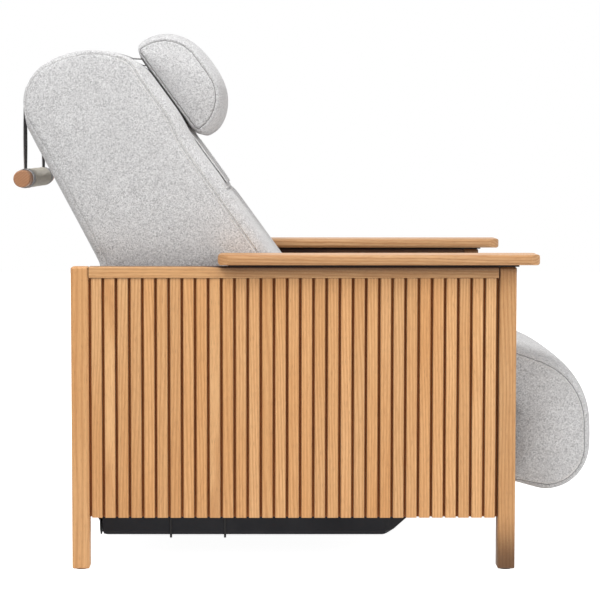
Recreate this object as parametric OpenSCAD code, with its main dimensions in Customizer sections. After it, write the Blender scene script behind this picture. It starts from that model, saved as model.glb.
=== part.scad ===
// Reclining foot-treatment chair: slatted side frames, reclining backrest with a counterweighted
// head pillow, seat, lifting calf rest and sliding arm boards.
// Lengths along X are measured from the back face of the rear legs and shifted at the end, so that the
// origin lies on the floor in the middle of the whole chair. The chair faces +X; its right side is -Y.

/* [Side frames] */
// Length of a side frame over its two legs
side_l = 907; // [880:1:940]
// Height of the side frames above the floor
side_h = 622; // [590:1:650]
// Clear width between the two side frames
clear_w = 668; // [660:1:700]
// Width and depth of a leg
leg_w = 36; // [32:1:42]
// Radius of the eased edges of a leg
leg_edge_r = 5; // [2:0.5:7]
// Height of the top rail
top_rail_h = 23; // [18:1:34]
// Height of the lower ends of the slats above the floor
slat_foot_z = 107.5; // [90:0.5:115]
// Number of slats in one side
slat_n = 31; // [20:1:38]
// Gap between two slats
slat_gap = 5.1; // [3:0.1:7]
// Thickness of a slat
slat_t = 12; // [9:0.5:14]
// Bevel along the front edges of a slat
slat_bevel = 1.5; // [0.5:0.1:3]
// Depth of the slats behind the outer face of the legs
slat_recess = 2; // [0.5:0.5:4]
// Thickness of the board behind the slats
backing_t = 6; // [4:0.5:8]
// Height of the rail behind the lower ends of the slats
low_rail_h = 40; // [30:1:60]
// Diameter of a foot glide
glide_d = 24; // [16:1:28]
// Height of a foot glide
glide_h = 2; // [1:0.5:6]

/* [Arm boards] */
// Length of an arm board
arm_l = 655; // [620:1:680]
// Width of an arm board
arm_w = 90; // [80:1:96]
// Thickness of an arm board
arm_t = 21; // [19:0.5:26]
// Distance from the rear legs' back face to the rear end of the arm board
arm_x = 299; // [285:1:310]
// Radius of the arm board's corners in plan
arm_corner_r = 28; // [15:1:40]
// Radius of the arm board's eased edges
arm_edge_r = 7; // [3:0.5:9]
// Distance from the middle of the chair to the inner edge of an arm board
arm_in_y = 300; // [298:1:312]
// Thickness of the steel runner under an arm board
runner_t = 4; // [3:0.5:6]
// Distance from the rear legs' back face to the rear end of the runner
runner_x = 320; // [310:1:340]
// Length of the runner
runner_l = 592; // [560:1:600]
// Width of the runner
runner_w = 28; // [24:1:34]

/* [Backrest] */
// Lean of the backrest from upright
back_lean = 34.6; // [32:0.1:38]
// Space between the backrest and a side frame
back_side_gap = 44; // [42:1:60]
// Distance from the rear legs' back face to the backrest's pivot
back_pivot_x = 531; // [525:1:540]
// Height of the backrest's pivot
back_pivot_z = 431; // [425:1:441]
// Distance from the pivot to the front face of the backrest
back_face = 30; // [29:0.5:33]
// Distance from the pivot to the top of the backrest
back_h = 838; // [810:1:870]
// Radius of the front of the rounded top
back_front_r = 168; // [150:1:180]
// Radius of the rear of the rounded top
back_rear_r = 113; // [100:1:130]
// Depth of the backrest at its rear lower corner
back_d = 305; // [300:1:320]
// Distance along the backrest from the pivot to that corner
back_corner_u = 450; // [430:1:465]
// Length of the short upright edge below that corner
back_edge_l = 26; // [8:1:30]
// Swell of the front face between its side seams
back_crown = 6; // [4:0.5:9]
// Swell of a side panel
back_side_swell = 4; // [2:0.5:5]
// Radius of the edges between the side panels and the front and rear
back_edge_r = 10; // [6:0.5:14]
// Thickness of the plywood panel in the backrest
back_panel_t = 10; // [8:0.5:12]

/* [Head pillow and counterweight] */
// Distance along the backrest from the pivot to the pillow's lower edge
pillow_u = 548; // [540:1:560]
// Height of the pillow's end caps along the backrest
pillow_h = 213; // [200:1:225]
// Depth of the pillow's end caps
pillow_d = 91; // [86:1:100]
// Length of the pillow between its end seams
pillow_l = 356; // [330:2:380]
// Radius of the pillow's front corners
pillow_front_r = 68; // [50:1:72]
// Radius of the pillow's rear corners
pillow_back_r = 17; // [12:1:20]
// Swell of the pillow between its end seams
pillow_crown = 20; // [14:1:24]
// Swell of an end cap
pillow_cap_swell = 12; // [6:1:16]
// Thickness of the flap below the pillow
flap_t = 6; // [4:0.5:8]
// Distance along the backrest from the pivot to the flap's lower edge
flap_u = 412; // [390:1:430]
// Width of the flap
flap_w = 330; // [300:2:340]
// Width of a strap
strap_w = 38; // [30:1:44]
// Thickness of a strap
strap_t = 3; // [2:0.5:4]
// Distance of a strap's middle from the middle of the chair
strap_y = 165; // [150:1:175]
// Length of strap that hangs behind the backrest, down to the middle of the dowel
strap_drop = 151; // [120:1:160]
// Diameter of the counterweight dowel
dowel_d = 36; // [30:1:42]
// Length of the dowel
dowel_l = 460; // [430:2:500]
// Thickness of the fabric sleeve round the dowel
sleeve_t = 3; // [2:0.5:5]

/* [Seat] */
// Height of the top of the steel seat rails
seat_rail_z = 389; // [385:1:393]
// Height of a seat rail
seat_rail_h = 40; // [36:1:44]
// Thickness of a seat rail
seat_rail_t = 20; // [16:1:22]
// Thickness of the seat board
seat_board_t = 12; // [10:1:14]
// Height of the seat cushion at its edges
seat_h = 45; // [35:1:50]
// Swell of the seat cushion
seat_crown = 20; // [12:1:24]
// Radius of the seat cushion's edges
seat_edge_r = 16; // [10:1:20]
// Space between the seat cushion and a side frame
seat_side_gap = 44; // [42:1:60]

/* [Calf rest] */
// Distance from the rear legs' back face to the calf rest's pivot
leg_pivot_x = 878; // [872:1:884]
// Height of the calf rest's pivot
leg_pivot_z = 414; // [411:1:419]
// Space between the calf rest's end seams and a side frame
calf_side_gap = 66; // [58:1:80]
// Depth of the calf rest in front of its pivot
calf_d = 187; // [180:1:200]
// Depth of the calf rest below its pivot
calf_h = 267; // [250:1:275]
// Radius of the roll round the calf rest's pivot
calf_nose_r = 33; // [30:0.5:36]
// Radius of the calf rest's upper front
calf_upper_r = 135; // [125:1:140]
// Distance below the pivot where the upper front round ends
calf_shoulder = 123; // [115:1:130]
// Radius of the calf rest's lower front
calf_lower_r = 84; // [70:1:90]
// Rise of the underside towards the rear
calf_heel_rise = 16; // [8:1:24]
// Swell of the calf rest between its end seams
calf_crown = 20; // [14:1:22]
// Swell of an end cap
calf_cap_swell = 8; // [4:1:12]
// Thickness of the plywood board in the calf rest
calf_board_t = 12; // [9:0.5:14]

/* [Under the seat] */
// Height of the underside of the pan
pan_z = 55; // [45:1:65]
// Distance from the rear legs' back face to the rear wall of the pan
pan_x = 56; // [50:1:64]
// Length of the pan's floor
pan_l = 594; // [560:1:610]
// Lean of the pan's front wall, as the reach of its upper edge
pan_reach = 88; // [30:1:100]
// Space between the pan and a side frame
pan_side_gap = 39; // [34:1:50]
// Wall of the pan
pan_t = 3; // [2:0.5:4]
// Diameter of a pivot pin's journal
journal_d = 20; // [16:1:22]
// Diameter of the cross tubes at the pivots
cross_tube_d = 34; // [32:0.5:36]
// Length of the backrest's drive lever
back_lever_l = 110; // [105:1:112]
// Length of the calf rest's drive lever
calf_lever_l = 86; // [82:1:88]

/* [Hidden] */
$fn = 48;

// Clearances: between pieces that seat, between soft pieces, in a running fit, round a fastener
seat_gap = 0.3;
soft_gap = 4;
run_gap = 0.08;
hole_gap = 0.15;
overrun = 5;

// Widths that follow from the space between the side frames
back_w = clear_w - 2 * back_side_gap;
seat_w = clear_w - 2 * seat_side_gap;
calf_w = clear_w - 2 * calf_side_gap;
pan_w = clear_w - 2 * pan_side_gap;

// Side frames
leg_y = (clear_w + leg_w) / 2;
side_y = clear_w / 2;
outer_y = side_y + leg_w;
front_leg_x = side_l - leg_w;
panel_l = side_l - 2 * leg_w;
slat_w = (panel_l - (slat_n + 1) * slat_gap) / slat_n;
slat_top_z = side_h - top_rail_h;
slat_y = outer_y - slat_recess - slat_t;
backing_y = slat_y - backing_t;
low_rail_lift = 0.3;
low_rail_z = slat_foot_z + low_rail_lift;
stretcher_t = 20;
stretcher_edge_r = 3;
rail_edge_r = 2;

// Arm slides: a key with a wide head on the runner, in a slotted channel let into the arm board
key_setback = 60;
key_x = runner_x + key_setback;
key_l = 470;
key_neck_w = 8;
key_neck_h = 4;
key_head_w = 20;
key_head_h = 4;
runner_z = side_h;
runner_y = leg_y;
arm_z = side_h + runner_t + seat_gap;
slot_gap = 0.4;
channel_wall = 5;
channel_web_t = 4;
channel_setback = 15;
channel_x = arm_x + channel_setback;
channel_l = arm_l - 2 * channel_setback;
channel_w = key_head_w + 2 * (slot_gap + channel_wall);
channel_lip_t = key_neck_h - seat_gap - slot_gap;
channel_h = channel_lip_t + key_head_h + 2 * slot_gap + channel_web_t;
arm_screw_d = 5;
arm_screw_head_d = 9;
arm_screw_head_h = 2;
arm_screw_l = 8;
arm_screw_shares = [0.08, 0.36, 0.64, 0.92];

// Backrest outline, in its own frame: first value forward from the pivot, second up the backrest
front_c = [back_face - back_front_r, back_h - back_front_r];
rear_c = [front_c.x, back_h - back_rear_r];
back_corner = [back_face - back_d, back_corner_u];
back_low = back_corner - back_edge_l * [sin(back_lean), cos(back_lean)];
rear_a = 360 + touch_a(rear_c, back_rear_r, back_corner, -1);
foot_a = touch_a([0, 0], back_face, back_low, 1);
crown_start_u = 110;
rear_crown_share = 0.3;
back_outline = concat(
    arc([0, 0], back_face, foot_a, 360, 5, 0, 0, 0),
    run([back_face, 0], [back_face, crown_start_u], 2, 0, 1, 2),
    run([back_face, crown_start_u], [back_face, front_c.y], 4, 1, 1, 4),
    arc(front_c, back_front_r, 0, 90, 8, 1, 1, 1),
    arc(rear_c, back_rear_r, 90, rear_a, 7, 1, rear_crown_share, 1),
    run(on_circle(rear_c, back_rear_r, rear_a), back_corner, 3, rear_crown_share, rear_crown_share, 3),
    run(back_corner, back_low, 1, 0, 0, 1),
    run(back_low, on_circle([0, 0], back_face, foot_a), 4, 0, 0, 3)
);
back_middle = [back_face - back_d / 2, back_corner_u];

// Steel and plywood inside the backrest
post_w = 40;
post_t = 20;
post_y = 215;
post_top_u = 690;
back_panel_v = -back_panel_t - 2 * seat_gap;
post_v = back_panel_v - seat_gap - post_t;
panel_half_w = 262;
panel_low_u = 25;
cross_bar_h = 30;
mid_bar_u = 340;

// Straps over the top of the backrest, the line that they hang on, and the dowel
strap_lift = back_crown + seat_gap;
strap_tuck = 45;
strap_low_u = pillow_u + strap_tuck;
hang_a = 180 - back_lean;
strap_end_a = hang_a - 1;
hang_point = to_world(on_circle(rear_c, back_rear_r + strap_lift + strap_t / 2, hang_a));
hang_x = hang_point.x;
hang_z = hang_point.y;
dowel_z = hang_z - strap_drop;
loop_r = dowel_d / 2 + seat_gap;
drop_foot_z = dowel_z + loop_r + strap_t + seat_gap;
dowel_edge_r = 2;
sleeve_l = 2 * strap_y - strap_w - 2 * soft_gap;

// Pillow and its flap
flap_v = back_face + back_crown + slot_gap;
pillow_v = flap_v + flap_t + seat_gap;
flap_tuck = 22;
corner_half_a = 45;
pillow_outline = concat(
    arc([pillow_v + pillow_back_r, pillow_u + pillow_back_r], pillow_back_r,
        180, 180 + corner_half_a, 2, 0, 0, 0),
    arc([pillow_v + pillow_back_r, pillow_u + pillow_back_r], pillow_back_r,
        180 + corner_half_a, 270, 2, 0, 1, 1),
    arc([pillow_v + pillow_d - pillow_front_r, pillow_u + pillow_front_r], pillow_front_r,
        270, 360, 6, 1, 1, 0),
    arc([pillow_v + pillow_d - pillow_front_r, pillow_u + pillow_h - pillow_front_r], pillow_front_r,
        0, 90, 6, 1, 0.75, 0),
    arc([pillow_v + pillow_back_r, pillow_u + pillow_h - pillow_back_r], pillow_back_r,
        90, 90 + corner_half_a, 2, 0.75, 0, 0),
    arc([pillow_v + pillow_back_r, pillow_u + pillow_h - pillow_back_r], pillow_back_r,
        90 + corner_half_a, 180, 2, 0, 0, 1)
);
pillow_middle = [pillow_v + pillow_d / 2, pillow_u + pillow_h / 2];
pillow_seam_r = 8;

// Calf rest outline, measured from the rear legs' back face and the floor
calf_front_x = leg_pivot_x + calf_d;
calf_foot_z = leg_pivot_z - calf_h;
calf_post_t = 18;
calf_post_w = 40;
calf_post_y = 180;
calf_post_sink = 7;
calf_post_x = leg_pivot_x + cross_tube_d / 2 - calf_post_sink;
calf_post_lift = 33;
calf_post_foot_z = calf_foot_z + calf_post_lift;
calf_board_x = calf_post_x + calf_post_t + seat_gap;
calf_back_x = calf_board_x + calf_board_t + seat_gap;
calf_board_drop = 2;
calf_board_top_z = leg_pivot_z - calf_nose_r - calf_board_drop;
calf_board_inset = 12;
calf_board_half_w = calf_w / 2 - calf_board_inset;
calf_c = [leg_pivot_x, leg_pivot_z];
calf_nose_a = 180 + 10;
calf_upper_c = [calf_front_x - calf_upper_r, leg_pivot_z - calf_shoulder];
calf_lower_c = [calf_front_x - calf_lower_r, calf_foot_z + calf_lower_r];
calf_span = calf_c - calf_upper_c;
calf_top_a = atan2(calf_span.y, calf_span.x) - acos((calf_upper_r - calf_nose_r) / norm(calf_span));
calf_heel = [calf_back_x, calf_foot_z + calf_heel_rise];
calf_tuck = [calf_back_x, leg_pivot_z - calf_nose_r];
calf_outline = concat(
    run(calf_heel, on_circle(calf_lower_c, calf_lower_r, 270), 3, 0, 0.8, 2),
    arc(calf_lower_c, calf_lower_r, 270, 360, 6, 0.8, 1, 0),
    arc(calf_upper_c, calf_upper_r, 0, calf_top_a, 6, 1, 1, 0),
    run(on_circle(calf_upper_c, calf_upper_r, calf_top_a), on_circle(calf_c, calf_nose_r, calf_top_a),
        2, 1, 1, 1),
    arc(calf_c, calf_nose_r, calf_top_a, calf_nose_a, 5, 1, 1, 0),
    arc(calf_c, calf_nose_r, calf_nose_a, 270, 4, 1, 0, 1),
    run(on_circle(calf_c, calf_nose_r, 270), calf_tuck, 1, 0, 0, 1),
    run(calf_tuck, calf_heel, 3, 0, 0, 3)
);
calf_middle = calf_tuck + [calf_nose_r / 2, calf_nose_r / 2];
calf_seam_r = 8;

// The whole chair from back to front, which sets its origin
rear_reach = hang_x - max(dowel_d / 2 + sleeve_t + seat_gap, loop_r + strap_t);
front_reach = calf_front_x + calf_crown;
origin_x = (rear_reach + front_reach) / 2;

// Seat
seat_x = back_pivot_x + back_face + soft_gap;
seat_front_x = leg_pivot_x - calf_nose_r - calf_crown - soft_gap;
seat_d = seat_front_x - seat_x;
seat_z = seat_rail_z + seat_board_t + seat_gap;
seat_board_setback = 20;
seat_board_inset = 6;
seat_draw_share = 0.02;
seat_outline = concat(
    arc([seat_x + seat_edge_r, seat_z + seat_edge_r / 2], seat_edge_r / 2, 180, 270, 2, 0, 0, 0),
    arc([seat_front_x - seat_edge_r, seat_z + seat_edge_r / 2], seat_edge_r / 2, 270, 360, 2, 0, 0, 0),
    arc([seat_front_x - seat_edge_r, seat_z + seat_h - seat_edge_r], seat_edge_r, 0, 90, 4, 0, 0.5, 0),
    run([seat_front_x - seat_edge_r, seat_z + seat_h], [seat_x + seat_edge_r, seat_z + seat_h],
        7, 0.5, 0.5, 6),
    arc([seat_x + seat_edge_r, seat_z + seat_h - seat_edge_r], seat_edge_r, 90, 180, 4, 0.5, 0, 0)
);
bearer_w = 30;
bearer_shares = [0.3, 0.82];
bearer_z = seat_rail_z - bearer_w;
rail_y = side_y - seat_rail_t;
rail_inset = 4;

// Pivots
bracket_t = 8;
boss_wall = 12;
boss_r = journal_d / 2 + boss_wall;
boss_l = 24;
bush_t = 3;
bush_flange_t = 2;
bush_flange_lip = 3;
bush_flange_r = journal_d / 2 + bush_t + bush_flange_lip;
bracket_y = rail_y - bracket_t;
bracket_foot_w = 54;
tube_wall = 3;
tube_half_l = 288;
stub_l = 40;
ring_t = 1.5;
journal_end_y = bracket_y + boss_l + ring_t + 2 * run_gap;

// Drives: levers on the cross tubes, a pin in a slotted yoke, a rod and its actuator
drive_pin_d = 12;
drive_pin_l = 40;
slot_play = 2;
back_lever_a = 19;
calf_lever_a = 30;
back_sweep_a = 31;
lever_t = 6;
lever_root_r = 15;
lever_eye_r = 19;
lever_tip_r = 12;
yoke_w = 36;
yoke_t = 18;
yoke_wall = 6;
yoke_side_gap = 1;
lever_y = yoke_t / 2 + yoke_side_gap + lever_t / 2;
back_drive_y = -100;
calf_drive_y = 100;
back_yoke_x = back_pivot_x - back_lever_l * sin(back_lever_a);
calf_yoke_x = leg_pivot_x - calf_lever_l * sin(calf_lever_a);
back_pin_z = back_pivot_z - back_lever_l * cos(back_lever_a);
calf_pin_z = leg_pivot_z - calf_lever_l * cos(calf_lever_a);
back_pin_low_z = back_pivot_z - back_lever_l;
back_pin_high_z = back_pivot_z - back_lever_l * cos(back_sweep_a);
calf_pin_low_z = leg_pivot_z - calf_lever_l;
calf_pin_high_z = calf_pin_z;
back_axis_z = (back_pin_low_z + back_pin_high_z) / 2;
calf_axis_z = (calf_pin_low_z + calf_pin_high_z) / 2;
rod_d = 20;
barrel_d = 40;
back_travel = back_lever_l * (sin(back_sweep_a) + sin(back_lever_a));
calf_travel = 2 * calf_lever_l * sin(calf_lever_a);
rod_hold = 52;
barrel_setback = 20;
back_barrel_x = back_yoke_x + yoke_w / 2 + back_travel + soft_gap;
back_barrel_end_x = seat_front_x - barrel_setback;
calf_barrel_end_x = calf_yoke_x - yoke_w / 2 - barrel_setback;
calf_barrel_x = back_barrel_x;
back_rod_l = back_barrel_x + rod_hold - back_yoke_x - yoke_w / 2;
calf_rod_l = calf_yoke_x - yoke_w / 2 - calf_barrel_end_x + calf_travel + rod_hold;
gear_l = 46;
gear_w = 98;
gear_h = 54;
gear_edge_r = 6;
motor_d = 44;
motor_l = 105;
motor_offset = 48;
motor_drop = 6;
saddle_l = 26;
saddle_wall = 4;

// Fasteners
bolt_d = 8;
bolt_head_d = 13;
bolt_head_h = 5.5;
bolt_bite = 26;
bolt_share = 0.25;

// Pan, its clips and the control box
pan_lift = 1;
pan_top_z = low_rail_z + pan_lift;
pan_corner = 106;
pan_bend_shares = [0.82, 0.94];
pan_bend_rise_share = 0.3;
pan_foot_inset = 8;
pan_edge_r = 9;
pan_lip_t = 2;
pan_lip_w = 22;
pan_rear_lip_l = 40;
clip_t = 3;
clip_l = 24;
clip_h = 25;
clip_shares = [0.24, 0.43];
control_l = 180;
control_w = 130;
control_h = 38;
control_edge_r = 6;
control_setback = 80;
control_x = pan_x + pan_l - control_l - control_setback;

// Point on a circle about c with radius r, at angle a
function on_circle(c, r, a) = c + r * [cos(a), sin(a)];

// Direction, seen from the centre of a circle, of the point where a line from p touches it
function touch_a(c, r, p, turn) = atan2(p.y - c.y, p.x - c.x) + turn * acos(r / norm(p - c));

// Point of the backrest's own frame, in the side view of the chair
function to_world(p) = [
    back_pivot_x + p.x * cos(back_lean) - p.y * sin(back_lean),
    back_pivot_z + p.x * sin(back_lean) + p.y * cos(back_lean)
];

// Outline points on an arc, with a swell weight that runs from wa to wb; first is the first one kept
function arc(c, r, a, b, n, wa, wb, first) = [
    for (i = [first:n]) let (p = on_circle(c, r, a + (b - a) * i / n)) [p.x, p.y, wa + (wb - wa) * i / n]
];

// Outline points on a straight stretch after its first point; last is the last one kept
function run(p, q, n, wa, wb, last) = [
    for (i = [1:last]) let (s = p + (q - p) * i / n) [s.x, s.y, wa + (wb - wa) * i / n]
];

// Outward directions at the points of a closed outline that runs counter-clockwise
function outward(o) = [
    for (i = [0:len(o) - 1])
        let (t = o[(i + 1) % len(o)] - o[(i + len(o) - 1) % len(o)], l = norm([t.x, t.y])) [t.y, -t.x] / l
];

// One cross-section of a soft form at station y: push moves it outward, crown adds its own swell,
// and draw pulls the middle of the sides in
function ring(o, dirs, push, crown, y, draw, mid, half) = [
    for (i = [0:len(o) - 1])
        let (d = push + crown * o[i].z, s = (o[i].x - mid.x) / half)
            [o[i].x + dirs[i].x * d, y * (1 - draw * max(0, 1 - s * s)), o[i].y + dirs[i].y * d]
];

// Cross-section drawn in towards its middle, for an end cap
function cap_ring(o, dirs, push, share, y, mid) = [
    for (i = [0:len(o) - 1])
        [mid.x + (o[i].x + dirs[i].x * push - mid.x) * share, y,
         mid.y + (o[i].y + dirs[i].y * push - mid.y) * share]
];

// Stations of one half of a soft form, from its end to near its middle: [y, push, swell share]
edge_turns = [0, 35, 65];
station_shares = [1, 0.94, 0.83, 0.64, 0.35];
edge_swell_share = 0.25;
cap_share = 0.86;
cap_rise_share = 0.8;
function swell(t) = sqrt(max(0, 1 - pow(t, 4)));
function half_stations(half_l, edge_r) = concat(
    [for (a = edge_turns)
        [half_l - edge_r + edge_r * cos(a), edge_r * sin(a) - edge_r, edge_swell_share * sin(a)]],
    [for (s = station_shares) let (y = s * (half_l - edge_r)) [y, 0, swell(y / half_l)]]
);

// Skin over a stack of rings with the same number of points, closed by fans to two end points
module skin(rings, tip_a, tip_b) {
    m = len(rings[0]);
    n = len(rings);
    points = concat([for (r = rings) each r], [tip_a, tip_b]);
    sides = [
        for (j = [0:n - 2], i = [0:m - 1])
            let (a = j * m + i, b = j * m + (i + 1) % m, c = b + m, d = a + m) each [[a, b, c], [a, c, d]]
    ];
    caps = [
        for (i = [0:m - 1])
            let (k = (i + 1) % m) each [[n * m, k, i], [n * m + 1, (n - 1) * m + i, (n - 1) * m + k]]
    ];
    polyhedron(points, concat(sides, caps));
}

// Soft form: an outline in the side view, carried across the chair, crowned between its ends and
// closed by end caps that swell a little
module soft_form(o, mid, half_l, edge_r, crown, cap_swell, draw, half) {
    dirs = outward(o);
    st = half_stations(half_l, edge_r);
    skin(
        concat(
            [cap_ring(o, dirs, -edge_r, cap_share, -half_l - cap_rise_share * cap_swell, mid)],
            [for (s = st) ring(o, dirs, s[1], crown * s[2], -s[0], draw, mid, half)],
            [ring(o, dirs, 0, crown, 0, draw, mid, half)],
            [for (i = [len(st) - 1:-1:0])
                ring(o, dirs, st[i][1], crown * st[i][2], st[i][0], draw, mid, half)],
            [cap_ring(o, dirs, -edge_r, cap_share, half_l + cap_rise_share * cap_swell, mid)]
        ),
        [mid.x, -half_l - cap_swell, mid.y], [mid.x, half_l + cap_swell, mid.y]
    );
}

// Placing
module from_middle() { translate([-origin_x, 0, 0]) children(); }
module both_sides() { children(); mirror([0, 1, 0]) children(); }
module right_side() { mirror([0, 1, 0]) children(); }
module on_back() {
    from_middle() translate([back_pivot_x, 0, back_pivot_z]) rotate([0, -back_lean, 0]) children();
}

// Box by its low corner and size
module box(at, size) { translate(at) cube(size); }

// Rod along Y from y to y + l
module rod_y(x, y, z, r, l) { translate([x, y + l, z]) rotate([90, 0, 0]) cylinder(l, r, r); }

// Rod along X from x to x + l
module rod_x(x, y, z, r, l) { translate([x, y, z]) rotate([0, 90, 0]) cylinder(l, r, r); }

// Rectangle with eased corners
module eased_section(w, d, r) {
    square([w, d - 2 * r], center = true);
    square([w - 2 * r, d], center = true);
    for (sx = [-1, 1], sy = [-1, 1]) translate([sx * (w / 2 - r), sy * (d / 2 - r)]) circle(r);
}

// Block with all its edges eased, by its low corner and size; plan_r rounds it more as seen from above
module eased_block(at, size, r, plan_r) {
    translate(at + size / 2) intersection() {
        linear_extrude(size.z, center = true) eased_section(size.x, size.y, plan_r);
        rotate([90, 0, 0]) linear_extrude(size.y, center = true) eased_section(size.x, size.z, r);
        rotate([90, 0, 90]) linear_extrude(size.x, center = true) eased_section(size.y, size.z, r);
    }
}

// Side frames, drawn for the left side
bolt_zs = [bearer_z + bolt_share * seat_rail_h, seat_rail_z - bolt_share * seat_rail_h];

module leg(x) {
    from_middle() difference() {
        eased_block([x, side_y, glide_h], [leg_w, leg_w, side_h - glide_h], leg_edge_r, leg_edge_r);
        for (z = bolt_zs) rod_y(x + leg_w / 2, side_y - overrun, z, bolt_d / 2 + hole_gap,
            overrun + bolt_bite + hole_gap);
    }
}

module top_rail() {
    from_middle() eased_block([leg_w, side_y, slat_top_z], [panel_l, leg_w, top_rail_h],
        rail_edge_r, rail_edge_r);
}

module low_rail() {
    from_middle() box([leg_w, side_y, low_rail_z], [panel_l, backing_y - side_y, low_rail_h]);
}

module slats() {
    from_middle() for (i = [0:slat_n - 1])
        translate([leg_w + slat_gap + i * (slat_w + slat_gap), slat_y, slat_foot_z])
            linear_extrude(slat_top_z - slat_foot_z) polygon([
                [0, 0], [slat_w, 0], [slat_w, slat_t - slat_bevel], [slat_w - slat_bevel, slat_t],
                [slat_bevel, slat_t], [0, slat_t - slat_bevel]
            ]);
}

module backing_board() {
    from_middle() box([leg_w, backing_y, low_rail_z], [panel_l, backing_t, slat_top_z - low_rail_z]);
}

module arm_runner() {
    from_middle() {
        box([runner_x, runner_y - runner_w / 2, runner_z], [runner_l, runner_w, runner_t]);
        box([key_x, runner_y - key_neck_w / 2, runner_z], [key_l, key_neck_w, runner_t + key_neck_h]);
        box([key_x, runner_y - key_head_w / 2, runner_z + runner_t + key_neck_h],
            [key_l, key_head_w, key_head_h]);
    }
}

module rear_leg_right() { color("burlywood") right_side() leg(0); }
module rear_leg_left() { color("burlywood") leg(0); }
module front_leg_right() { color("burlywood") right_side() leg(front_leg_x); }
module front_leg_left() { color("burlywood") leg(front_leg_x); }
module top_rail_right() { color("burlywood") right_side() top_rail(); }
module top_rail_left() { color("burlywood") top_rail(); }
module low_rail_right() { color("tan") right_side() low_rail(); }
module low_rail_left() { color("tan") low_rail(); }
module slats_right() { color("burlywood") right_side() slats(); }
module slats_left() { color("burlywood") slats(); }
module backing_board_right() { color("saddlebrown") right_side() backing_board(); }
module backing_board_left() { color("saddlebrown") backing_board(); }
module arm_runner_right() { color("dimgray") right_side() arm_runner(); }
module arm_runner_left() { color("dimgray") arm_runner(); }

module foot_glides() {
    color("dimgray") from_middle() both_sides() for (x = [leg_w / 2, side_l - leg_w / 2])
        translate([x, leg_y, 0]) cylinder(glide_h, glide_d / 2, glide_d / 2);
}

module stretcher(x) {
    from_middle() eased_block([x, -side_y, pan_top_z + seat_gap],
        [stretcher_t, clear_w, low_rail_h], stretcher_edge_r, stretcher_edge_r);
}
module rear_stretcher() { color("tan") stretcher((leg_w - stretcher_t) / 2); }
module front_stretcher() { color("tan") stretcher(side_l - leg_w + (leg_w - stretcher_t) / 2 - rail_inset); }

// Seat frame
module bracket_bolts_at() {
    for (x = [back_pivot_x - bracket_foot_w / 3, back_pivot_x + bracket_foot_w / 3])
        translate([x, 0, 0]) children();
}

module seat_rails() {
    color("dimgray") from_middle() both_sides() difference() {
        box([rail_inset, rail_y, seat_rail_z - seat_rail_h],
            [side_l - 2 * rail_inset, seat_rail_t, seat_rail_h]);
        for (x = [leg_w / 2, side_l - leg_w / 2], z = bolt_zs)
            rod_y(x, rail_y - overrun, z, bolt_d / 2 + hole_gap, seat_rail_t + 2 * overrun);
        bracket_bolts_at() rod_y(0, rail_y - overrun, seat_rail_z - seat_rail_h / 2,
            bolt_d / 2 + hole_gap, seat_rail_t + 2 * overrun);
    }
}

module seat_bearers() {
    color("dimgray") from_middle() for (s = bearer_shares)
        box([seat_x + s * seat_d - bearer_w / 2, -rail_y, bearer_z], [bearer_w, 2 * rail_y, bearer_w]);
}

// Bolt along Y with its head at the low end
module bolt(x, y, z, l) {
    rod_y(x, y - bolt_head_h, z, bolt_head_d / 2, bolt_head_h);
    rod_y(x, y - bolt_head_h, z, bolt_d / 2, bolt_head_h + l);
}

module frame_bolts() {
    color("silver") from_middle() both_sides() {
        for (z = bolt_zs) {
            bolt(leg_w / 2, rail_y, z, seat_rail_t + bolt_bite);
            bolt(side_l - leg_w / 2, bracket_y, z, bracket_t + seat_rail_t + bolt_bite);
        }
        bracket_bolts_at() bolt(0, bracket_y, seat_rail_z - seat_rail_h / 2, bracket_t + seat_rail_t);
    }
}

// Upright plate with a boss for a bush, seated on the inner face of a seat rail
module pivot_bracket(x, z, foot_x) {
    foot_z = seat_rail_z - seat_rail_h;
    difference() {
        union() {
            translate([0, bracket_y + bracket_t, 0]) rotate([90, 0, 0]) linear_extrude(bracket_t) polygon([
                [foot_x, foot_z], [foot_x + bracket_foot_w, foot_z],
                [foot_x + bracket_foot_w, seat_rail_z], [x + boss_r, z], [x - boss_r, z], [foot_x, seat_rail_z]
            ]);
            rod_y(x, bracket_y, z, boss_r, boss_l);
        }
        rod_y(x, bracket_y - overrun, z, journal_d / 2 + bush_t + 2 * run_gap, boss_l + 2 * overrun);
    }
}

module back_pivot_brackets() {
    color("dimgray") from_middle() both_sides() difference() {
        pivot_bracket(back_pivot_x, back_pivot_z, back_pivot_x - bracket_foot_w / 2);
        bracket_bolts_at() rod_y(0, bracket_y - overrun, seat_rail_z - seat_rail_h / 2,
            bolt_d / 2 + hole_gap, bracket_t + 2 * overrun);
    }
}

module calf_pivot_brackets() {
    color("dimgray") from_middle() both_sides() difference() {
        pivot_bracket(leg_pivot_x, leg_pivot_z, side_l - rail_inset - bracket_foot_w);
        for (z = bolt_zs) rod_y(side_l - leg_w / 2, bracket_y - overrun, z, bolt_d / 2 + hole_gap,
            bracket_t + 2 * overrun);
    }
}

// Plain bush with a flange, in a bracket's boss
module pivot_bush(x, z) {
    difference() {
        union() {
            rod_y(x, bracket_y, z, journal_d / 2 + bush_t, boss_l);
            rod_y(x, bracket_y - bush_flange_t, z, bush_flange_r, bush_flange_t);
        }
        rod_y(x, bracket_y - overrun, z, journal_d / 2 + run_gap, boss_l + 2 * overrun);
    }
}
module back_pivot_bushes() {
    color("goldenrod") from_middle() both_sides() pivot_bush(back_pivot_x, back_pivot_z);
}
module calf_pivot_bushes() {
    color("goldenrod") from_middle() both_sides() pivot_bush(leg_pivot_x, leg_pivot_z);
}

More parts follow.
